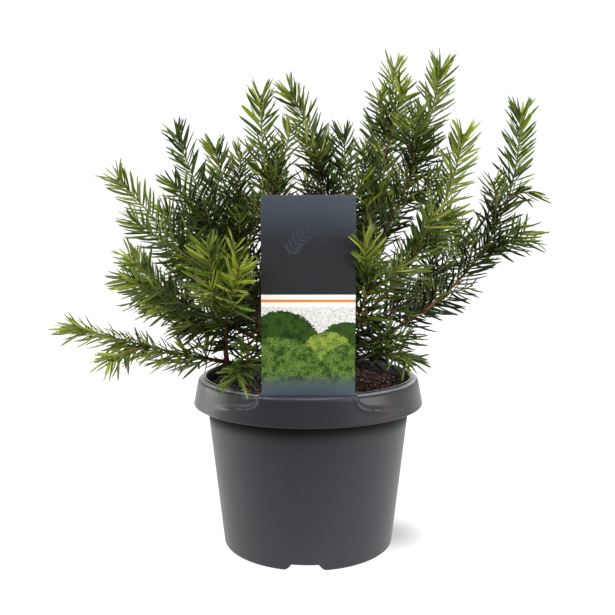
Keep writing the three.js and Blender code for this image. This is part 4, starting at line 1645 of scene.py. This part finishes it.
    def build(self) -> None:
        """Builds the pot, cuts its openings and settles it."""
        materials = [finish.made() for finish in self.finishes]
        piece = piece_of(written(self.shell(), "nursery_pot"), materials, self.sharp)
        cutter = bpy.data.objects.new("pot_cutters", written(self.cutters(), "pot_cutters"))
        bpy.context.scene.collection.objects.link(cutter)
        cut = piece.modifiers.new("cuts", "BOOLEAN")
        cut.operation, cut.solver, cut.object = "DIFFERENCE", "EXACT", cutter
        bpy.context.view_layer.update()
        depsgraph = bpy.context.evaluated_depsgraph_get()
        result = bpy.data.meshes.new_from_object(piece.evaluated_get(depsgraph))
        piece.modifiers.clear()
        piece.data = result
        result.name = "nursery_pot"
        result.set_sharp_from_angle(angle=math.radians(self.sharp))
        bpy.data.objects.remove(cutter)
        settle(piece, ["pot"])


@dataclass
class PottingSoil:
    """The potting mix: a body that fills the pot, with crumbs, chips and pale specks strewn on its top."""

    pot: NurseryPot
    top: float = 134
    edge: float = 132.6
    steps: int = 72
    crumbs: int = 3400
    crumb_size: tuple[float, float] = (0.6, 2.3)
    crumb_reach: tuple[float, float] = (11.5, 81.5)  # from the trunk's foot to the pot's wall
    crumb_share: float = 0.5
    chip_share: float = 0.36
    chip_stretch: float = 1.6
    speck_size: float = 0.62
    bump: float = 1.6
    bump_spans: tuple[float, float] = (16, 5)  # sizes of the broad bumps and of the small ones
    foot_calm: tuple[float, float] = (11, 20)  # the bumps set in beside the trunk
    wall_calm: tuple[float, float] = (83, 78)  # and run out by the pot's wall
    slope_reach: float = 80
    squashes: tuple[float, ...] = (0.8, 0.6, 0.7, 0.9, 0.5, 0.7)  # height of each kind of lump, for its width
    finishes: tuple[Finishes, ...] = (Finishes.CRUMB, Finishes.REDDISH, Finishes.PALE)

    def surface(self, x: float, y: float) -> float:
        """Height of the soil's top at a place.

        Args:
            x: the place, to the right.
            y: the place, to the back.

        Returns:
            The height, which is smooth by the trunk and by the pot.
        """
        reach = math.hypot(x, y)
        rough = smooth_share(*self.foot_calm, reach) * smooth_share(*self.wall_calm, reach)
        broad, small = self.bump_spans
        wave = noise.noise(Vector((x / broad, y / broad, 3.3)))
        wave += 0.45 * noise.noise(Vector((x / small, y / small, 7.1)))
        return mix(self.top, self.edge, min(1, reach / self.slope_reach)) + self.bump * wave * rough

    def body(self) -> bpy.types.Object:
        """The body of soil, clear of the pot all round.

        Returns:
            The piece.
        """
        pot = self.pot
        inner = pot.middle_foot
        floor = pot.channel + pot.wall + GAP
        side = pot.wall + GAP
        corners = [
            (0, side, 0), (inner + 0.5, side, 0), (inner + 4.5, floor, 0),
            (pot.outside(floor) - side, floor, 0),
            (pot.outside(self.edge) - side - 0.4, self.edge, 0), (0, self.edge, 0),
        ]
        shape = turned(corners, self.steps, 3.0, self.edge - 1)
        for vert in shape.verts:
            if vert.co.z > self.edge - 0.01:
                vert.co.z = self.surface(vert.co.x, vert.co.y)
        return piece_of(written(shape, "potting_soil"), [Finishes.SOIL.made()], 60)

    def crumb(self, seed: int, squash: float) -> Shape:
        """A lump of soil about 1 in radius.

        Args:
            seed: gives it its own shape.
            squash: its height for its width.

        Returns:
            The lump.
        """
        shape = bmesh.new()
        bmesh.ops.create_icosphere(shape, subdivisions=1, radius=1)
        for vert in shape.verts:
            vert.co *= 1 + 0.5 * noise.noise(vert.co * 1.7 + Vector((seed * 5.1, 0, 0)))
        bmesh.ops.scale(shape, vec=(1, 1, squash), verts=shape.verts)
        return Shape.of(shape)

    def strewn(self) -> bpy.types.Object:
        """The crumbs, bark chips and pale specks that lie on top.

        Returns:
            The piece.
        """
        random = np.random.default_rng(77)
        shapes = [self.crumb(seed, squash) for seed, squash in enumerate(self.squashes)]
        nearest, furthest = self.crumb_reach
        heap = Heap()
        for _ in range(self.crumbs):
            reach, heading = furthest * math.sqrt(random.random()), random.uniform(0, 2 * math.pi)
            kind = random.random()
            size = mix(*self.crumb_size, random.random() ** 2)
            finish = int(kind >= self.crumb_share) + int(kind >= self.crumb_share + self.chip_share)
            chip, speck = finish == 1, finish == 2
            stretch = np.array((1 + self.chip_stretch * chip * random.random(), 1, 0.8 if finish else 1))
            if speck:
                size *= self.speck_size
            turn = Matrix.Rotation(random.uniform(0, 6.3), 3, "Z")
            turn = np.array(turn @ Matrix.Rotation(random.normal(0, 0.5), 3, "X"))
            if reach < nearest:
                continue
            x, y = reach * math.cos(heading), reach * math.sin(heading)
            place = np.array((x, y, self.surface(x, y) + 0.25 * size))
            shape = shapes[random.integers(0, len(shapes))]
            places = place + (shape.places * stretch * size) @ turn.T
            heap.add(shape, places, lambda face, finish=finish: finish)
        return heap.joined("soil_crumbs", [finish.made() for finish in self.finishes], 60)

    def build(self) -> None:
        """Builds and settles the soil."""
        settle(self.body(), ["soil"])
        settle(self.strewn(), ["soil"])


@dataclass(frozen=True)
class Mound:
    """A rounded mound in the label's print: where its middle and foot are, half its width and its height."""

    centre: float
    foot: float
    wide: float
    tall: float

    def within(
        self, recipe: Recipe, x: bpy.types.NodeSocket, z: bpy.types.NodeSocket
    ) -> bpy.types.NodeSocket:
        """The mound as a pattern with a ragged edge.

        Args:
            recipe: the print's material.
            x: the place on the label, across.
            z: the same, up.

        Returns:
            1 inside the mound and 0 outside it.
        """
        across = recipe.math("DIVIDE", recipe.math("SUBTRACT", x, self.centre), self.wide)
        up = recipe.math("DIVIDE", recipe.math("SUBTRACT", z, self.foot), self.tall)
        across = recipe.math("POWER", recipe.math("ABSOLUTE", across), 2.0)
        up = recipe.math("POWER", recipe.math("ABSOLUTE", up), 2.0)
        away = recipe.math("ADD", across, up)
        ragged = recipe.math("ADD", away, recipe.math("MULTIPLY", recipe.noise(500, 4), 0.5))
        return recipe.share(ragged, 1.29, 1.22)


@dataclass(frozen=True)
class LabelPrint:
    """A plain garden print: a slate field over pale and orange lines, and green mounds that fade to slate."""

    slate: Colour = (0.027, 0.028, 0.031)
    slate_top: Colour = (0.057, 0.074, 0.092)
    cream: Colour = (0.98, 0.97, 0.92)
    orange: Colour = (0.82, 0.27, 0.05)
    gravel: Colour = (0.42, 0.40, 0.37)
    leaf: Colour = (0.05, 0.11, 0.012)
    leaf_light: Colour = (0.20, 0.33, 0.06)
    leaf_dark: Colour = (0.004, 0.012, 0.002)
    hedge: Colour = (0.022, 0.06, 0.008)
    lime: Colour = (0.36, 0.42, 0.035)
    foot: Colour = (0.085, 0.11, 0.125)
    roughness: float = 0.38
    gloss: float = 0.25
    bands: tuple[float, ...] = (207, 210.5, 212.5, 216)  # the feet of cream, orange, cream and slate
    band_softness: float = 0.2
    sky_fade: tuple[float, float] = (248, 289)
    foot_fade: tuple[float, float] = (160, 147)
    far_mounds: tuple[Mound, ...] = (Mound(-20, 180, 28, 24), Mound(27, 178, 20, 18))
    lime_mounds: tuple[Mound, ...] = (Mound(14, 176, 17, 13),)
    near_mounds: tuple[Mound, ...] = (Mound(-22, 156, 34, 29), Mound(28, 152, 24, 27))

    def leaves(self, recipe: Recipe, middle: Colour, light: Colour) -> bpy.types.NodeSocket:
        """Small leaves, light and dark, over soft clumps of light and shade.

        Args:
            recipe: the print's material.
            middle: the leaves' own colour.
            light: their colour in the light.

        Returns:
            The pattern of colour.
        """
        fine = recipe.share(recipe.noise(1100, 4), 0.4, 0.6)
        clumps = recipe.share(recipe.noise(260, 3), 0.3, 0.62)
        shaded = recipe.mixed(clumps, self.leaf_dark, middle)
        return recipe.mixed(fine, shaded, recipe.mixed(clumps, middle, light))

    def made(self) -> bpy.types.Material:
        """The print as a node material, laid out by height and by distance from the label's middle.

        Returns:
            The material.
        """
        recipe = Recipe("garden_print", self.roughness, self.gloss)
        x, _, z = recipe.node("ShaderNodeSeparateXYZ", {0: recipe.place}).outputs
        x, z = recipe.math("DIVIDE", x, MM), recipe.math("DIVIDE", z, MM)
        near = self.leaves(recipe, self.leaf, self.leaf_light)
        far = self.leaves(recipe, self.hedge, self.leaf)
        lime = self.leaves(recipe, self.leaf_light, self.lime)
        picture = recipe.mixed(recipe.share(recipe.noise(1500, 3), 0.2, 0.7), self.gravel, self.cream)
        for colour, mounds in ((far, self.far_mounds), (lime, self.lime_mounds), (near, self.near_mounds)):
            for mound in mounds:
                picture = recipe.mixed(mound.within(recipe, x, z), picture, colour)
        picture = recipe.mixed(recipe.share(z, *self.foot_fade), picture, self.foot)
        sky = recipe.mixed(recipe.share(z, *self.sky_fade), self.slate, self.slate_top)
        colour, soft = picture, self.band_softness
        for height, tint in zip(self.bands, (self.cream, self.orange, self.cream, sky)):
            colour = recipe.mixed(recipe.share(z, height - soft, height + soft), colour, tint)
        normal = recipe.node("ShaderNodeNewGeometry", {}).outputs["True Normal"]
        backwards = recipe.node("ShaderNodeSeparateXYZ", {0: normal}).outputs[1]
        colour = recipe.mixed(recipe.share(backwards, -0.4, -0.5), self.slate, colour)
        return recipe.finished(colour, recipe.noise(180, 3), 0.05)


@dataclass
class PlantLabel:
    """The upright plastic card that stands in the collar's slot, with a leafy sprig on its slate field."""

    width: float = 68.4
    thickness: float = 0.8
    bottom: float = 128.0
    top: float = 287.5
    front: float = -86.0
    corner: float = 1.5
    edge: float = 0.15
    ink_height: float = 0.02  # how far the sprig's ink stands off the card
    ink_depth: float = 0.05
    stalk: Curve = Curve(*np.array(((-15.0, 243, 0), (-9, 258, 0), (15, 272, 0))))  # across and up
    stalk_width: tuple[float, float] = (0.9, 0.5)
    leaf_pairs: int = 9
    leaf_span: tuple[float, float] = (0.12, 0.94)  # the share of the stalk that has leaves
    leaf_length: tuple[float, float] = (7.5, 5)
    leaf_width: float = 0.16  # half of it, for the leaf's length
    leaf_angle: float = 52
    leaf_gap: float = 0.75  # from the stalk to the foot of each leaf
    sprig: Colour = (0.04, 0.047, 0.056)
    sprig_light: Colour = (0.048, 0.056, 0.066)

    @property
    def face(self) -> float:
        """Where the sprig's ink lies, in front of the card."""
        return self.front - self.thickness / 2 - self.ink_height

    def card(self) -> bpy.types.Object:
        """The card with its corners rounded and its edges eased.

        Returns:
            The piece.
        """
        shape = bmesh.new()
        bmesh.ops.create_grid(shape, x_segments=1, y_segments=1, size=0.5)
        bmesh.ops.scale(shape, vec=(self.width, self.top - self.bottom, 1), verts=shape.verts)
        uppers = [v for v in shape.verts if v.co.y > 0]
        bmesh.ops.bevel(
            shape, geom=uppers, offset=self.corner, affect="VERTICES", segments=6, profile=0.5, material=-1
        )
        upright = Matrix.Rotation(math.pi / 2, 3, "X")
        bmesh.ops.rotate(shape, cent=(0, 0, 0), matrix=upright, verts=shape.verts)
        middle = (self.bottom + self.top) / 2
        bmesh.ops.translate(shape, vec=(0, self.front + self.thickness / 2, middle), verts=shape.verts)
        grown = bmesh.ops.extrude_face_region(shape, geom=shape.faces[:])["geom"]
        moved = [g for g in grown if isinstance(g, bmesh.types.BMVert)]
        bmesh.ops.translate(shape, vec=(0, -self.thickness, 0), verts=moved)
        bmesh.ops.recalc_face_normals(shape, faces=shape.faces)
        rim = [e for e in shape.edges if e.calc_face_angle(0) > 1.2]
        bmesh.ops.bevel(
            shape, geom=rim, offset=self.edge, affect="EDGES", segments=2, profile=0.5, material=-1
        )
        return piece_of(written(shape, "plant_label_card"), [LabelPrint().made()], 40)

    def blade(self, shape: bmesh.types.BMesh, root: Vector, heading: float, length: float) -> None:
        """Adds one printed leaf of the sprig, as a thin flat oval.

        Args:
            shape: the sprig.
            root: where the leaf leaves the stalk, across and up.
            heading: its direction in degrees from straight up, to the right.
            length: its length.
        """
        turn = Matrix.Rotation(math.radians(heading), 4, "Y")
        place = Matrix.Translation((root.x, self.face, root.y))
        laid = Matrix.Rotation(math.pi / 2, 4, "X")
        size = Matrix.Diagonal((self.leaf_width * length, length / 2, 1, 1))
        foot = Matrix.Translation((0, length / 2, 0))
        bmesh.ops.create_circle(
            shape, cap_ends=True, radius=1, segments=16, matrix=place @ turn @ laid @ foot @ size
        )

    def print_sprig(self) -> bpy.types.Object:
        """The sprig: an arching stalk with pairs of oval leaves beside it, none of which overlap.

        Returns:
            The piece.
        """
        shape = bmesh.new()
        strip = bmesh.ops.create_grid(shape, x_segments=1, y_segments=24, size=0.5)["verts"]
        for vert in strip:
            share = vert.co.y + 0.5
            along, width = self.stalk.along(share), mix(*self.stalk_width, share) * vert.co.x
            middle = self.stalk.at(share)
            vert.co = (middle[0] + along[1] * width, self.face, middle[1] - along[0] * width)
        for share in np.linspace(*self.leaf_span, self.leaf_pairs):
            place, along = self.stalk.at(share), self.stalk.along(share)
            heading = math.degrees(math.atan2(along[0], along[1]))
            for side in (-1, 1):
                root = Vector(place[:2]) + side * self.leaf_gap * Vector((along[1], -along[0]))
                self.blade(shape, root, heading + side * self.leaf_angle, mix(*self.leaf_length, share))
        grown = bmesh.ops.extrude_face_region(shape, geom=shape.faces[:])["geom"]
        moved = [g for g in grown if isinstance(g, bmesh.types.BMVert)]
        bmesh.ops.translate(shape, vec=(0, self.ink_depth, 0), verts=moved)
        bmesh.ops.recalc_face_normals(shape, faces=shape.faces)
        recipe = Recipe("sprig_ink", 0.4, 0.25)
        ink = recipe.mixed(recipe.share(recipe.noise(90, 3), 0.35, 0.65), self.sprig, self.sprig_light)
        return piece_of(written(shape, "label_sprig"), [recipe.finished(ink, recipe.noise(180, 3), 0.05)], 40)

    def build(self) -> None:
        """Builds and settles the label."""
        settle(self.card(), ["plant_label"])
        settle(self.print_sprig(), ["plant_label"])


# ---------------- studio


@dataclass(frozen=True)
class Softbox:
    """A square light that points at the crown's middle. Its power is in watts."""

    name: str
    place: tuple[float, float, float]
    width: float
    power: float


@dataclass
class Studio:
    """The plain pale floor, the soft lights and the camera. Sizes are in metres."""

    camera_place: tuple[float, float, float] = (-0.0006, -0.680, 0.273)
    pitch: float = 83.63
    sensor: float = 36  # millimetres, as the lens is
    lens: float = 825 / 615 * 36
    floor_size: float = 14
    floor_white: Colour = (0.12, 0.12, 0.12)
    floor_second: Colour = (0.13, 0.13, 0.13)
    floor_glow: tuple[float, float] = (0.47, 1.0)  # as the camera sees it: in the pot's shade and plain white
    shade_middle: tuple[float, float] = (0.068, 0.008)
    shade_reach: tuple[float, float] = (0.047, 0.056)
    floor_bounce: tuple[float, float] = (0.03, 1.0)  # as the object is lit by it, in front and behind
    bounce_span: tuple[float, float] = (-0.5, 0.1)  # the places between which that changes
    behind: tuple[float, float, float] = (0, 1, 0.6)  # the direction where the surround is brightest
    surround_span: tuple[float, float] = (-0.9, 0.1)
    surround_glow: tuple[float, float] = (0.06, 0.85)  # as the object is lit by it, in front and behind
    surround_white: float = 1.1  # as the camera sees it
    aim: tuple[float, float, float] = (0, 0, 0.2)
    softboxes: tuple[Softbox, ...] = (
        Softbox("key", (-1.2, -0.8, 1.25), 0.9, 20),
        Softbox("fill", (1.3, -0.8, 0.45), 1.0, 17),
        Softbox("top", (0.2, -0.6, 1.6), 1.0, 15),
        Softbox("left", (-1.4, 0.45, 0.5), 0.9, 11),
        Softbox("rim", (0, 1.3, 1.35), 0.8, 9),
    )

    def floor(self) -> None:
        """The floor that the pot stands on."""
        shape = bmesh.new()
        bmesh.ops.create_grid(shape, x_segments=8, y_segments=8, size=self.floor_size / 2)
        mesh = bpy.data.meshes.new("floor")
        shape.to_mesh(mesh)
        shape.free()
        recipe = Recipe("floor_white", 0.9, 0.1)
        recipe.shader.inputs["Emission Color"].default_value = (1, 1, 1, 1)
        seen = recipe.node("ShaderNodeLightPath", {}).outputs["Is Camera Ray"]
        x, y, _ = recipe.node("ShaderNodeSeparateXYZ", {0: recipe.place}).outputs
        away = [
            recipe.math("POWER", recipe.math("DIVIDE", recipe.math("SUBTRACT", place, middle), reach), 2.0)
            for place, middle, reach in zip((x, y), self.shade_middle, self.shade_reach)
        ]
        away = recipe.math("SQRT", recipe.math("ADD", *away), 0.0)
        (shaded, white), (front, back) = self.floor_glow, self.floor_bounce
        glow = recipe.math("MULTIPLY", recipe.share(away, 0.1, 1), white - shaded)
        glow = recipe.math("ADD", glow, shaded)
        bounce = recipe.math("MULTIPLY", recipe.share(y, *self.bounce_span), back - front)
        bounce = recipe.math("ADD", bounce, front)
        strength = recipe.node("ShaderNodeMix", {0: seen, 2: bounce, 3: glow}).outputs[0]
        recipe.tree.links.new(strength, recipe.shader.inputs["Emission Strength"])
        colour = recipe.mixed(recipe.noise(3, 2), self.floor_white, self.floor_second)
        piece_of(mesh, [recipe.finished(colour)])

    def light(self, softbox: Softbox) -> None:
        """Adds a softbox.

        Args:
            softbox: its name, place, width and power.
        """
        data = bpy.data.lights.new(softbox.name, "AREA")
        data.size, data.energy = softbox.width, softbox.power
        lamp = bpy.data.objects.new(softbox.name, data)
        lamp.location = softbox.place
        aim = Vector(self.aim) - Vector(softbox.place)
        lamp.rotation_euler = aim.to_track_quat("-Z", "Y").to_euler()
        bpy.context.scene.collection.objects.link(lamp)

    def surround(self) -> None:
        """A surround that is white behind and above, dimmer in front, and plain white to the camera."""
        world = bpy.data.worlds.new("surround")
        world.use_nodes = True
        nodes, links = world.node_tree.nodes, world.node_tree.links
        direction = nodes.new("ShaderNodeTexCoord")
        behind = nodes.new("ShaderNodeVectorMath")
        behind.operation = "DOT_PRODUCT"
        behind.inputs[1].default_value = self.behind
        links.new(direction.outputs["Generated"], behind.inputs[0])
        strength = nodes.new("ShaderNodeMapRange")
        strength.interpolation_type = "SMOOTHSTEP"
        values = (*self.surround_span, *self.surround_glow)
        for name, value in zip(("From Min", "From Max", "To Min", "To Max"), values):
            strength.inputs[name].default_value = value
        links.new(behind.outputs["Value"], strength.inputs["Value"])
        seen = nodes.new("ShaderNodeMix")
        links.new(nodes.new("ShaderNodeLightPath").outputs["Is Camera Ray"], seen.inputs[0])
        links.new(strength.outputs[0], seen.inputs[2])
        seen.inputs[3].default_value = self.surround_white
        background = nodes["Background"]
        background.inputs["Color"].default_value = (1, 1, 1, 1)
        links.new(seen.outputs[0], background.inputs["Strength"])
        bpy.context.scene.world = world

    def camera(self) -> None:
        """The camera, level with the crown's middle and tilted a little down."""
        data = bpy.data.cameras.new("camera")
        data.lens, data.sensor_width = self.lens, self.sensor
        camera = bpy.data.objects.new("camera", data)
        camera.location = self.camera_place
        camera.rotation_euler = (math.radians(self.pitch), 0, 0)
        bpy.context.scene.collection.objects.link(camera)
        bpy.context.scene.camera = camera

    def build(self) -> None:
        """Sets the studio up, with plain colours as the eye sees them."""
        self.floor()
        self.surround()
        for softbox in self.softboxes:
            self.light(softbox)
        self.camera()
        bpy.context.scene.view_settings.view_transform = "Standard"


def main() -> None:
    """Builds the plant in order."""
    logging.basicConfig(level=logging.INFO, format="%(name)s: %(message)s")
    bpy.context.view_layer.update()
    Studio().build()
    growth = Growth()
    growth.grow()
    Wood(growth).build()
    Foliage(growth).build()
    pot = NurseryPot()
    pot.build()
    PottingSoil(pot).build()
    PlantLabel().build()


if __name__ == "__main__":
    main()
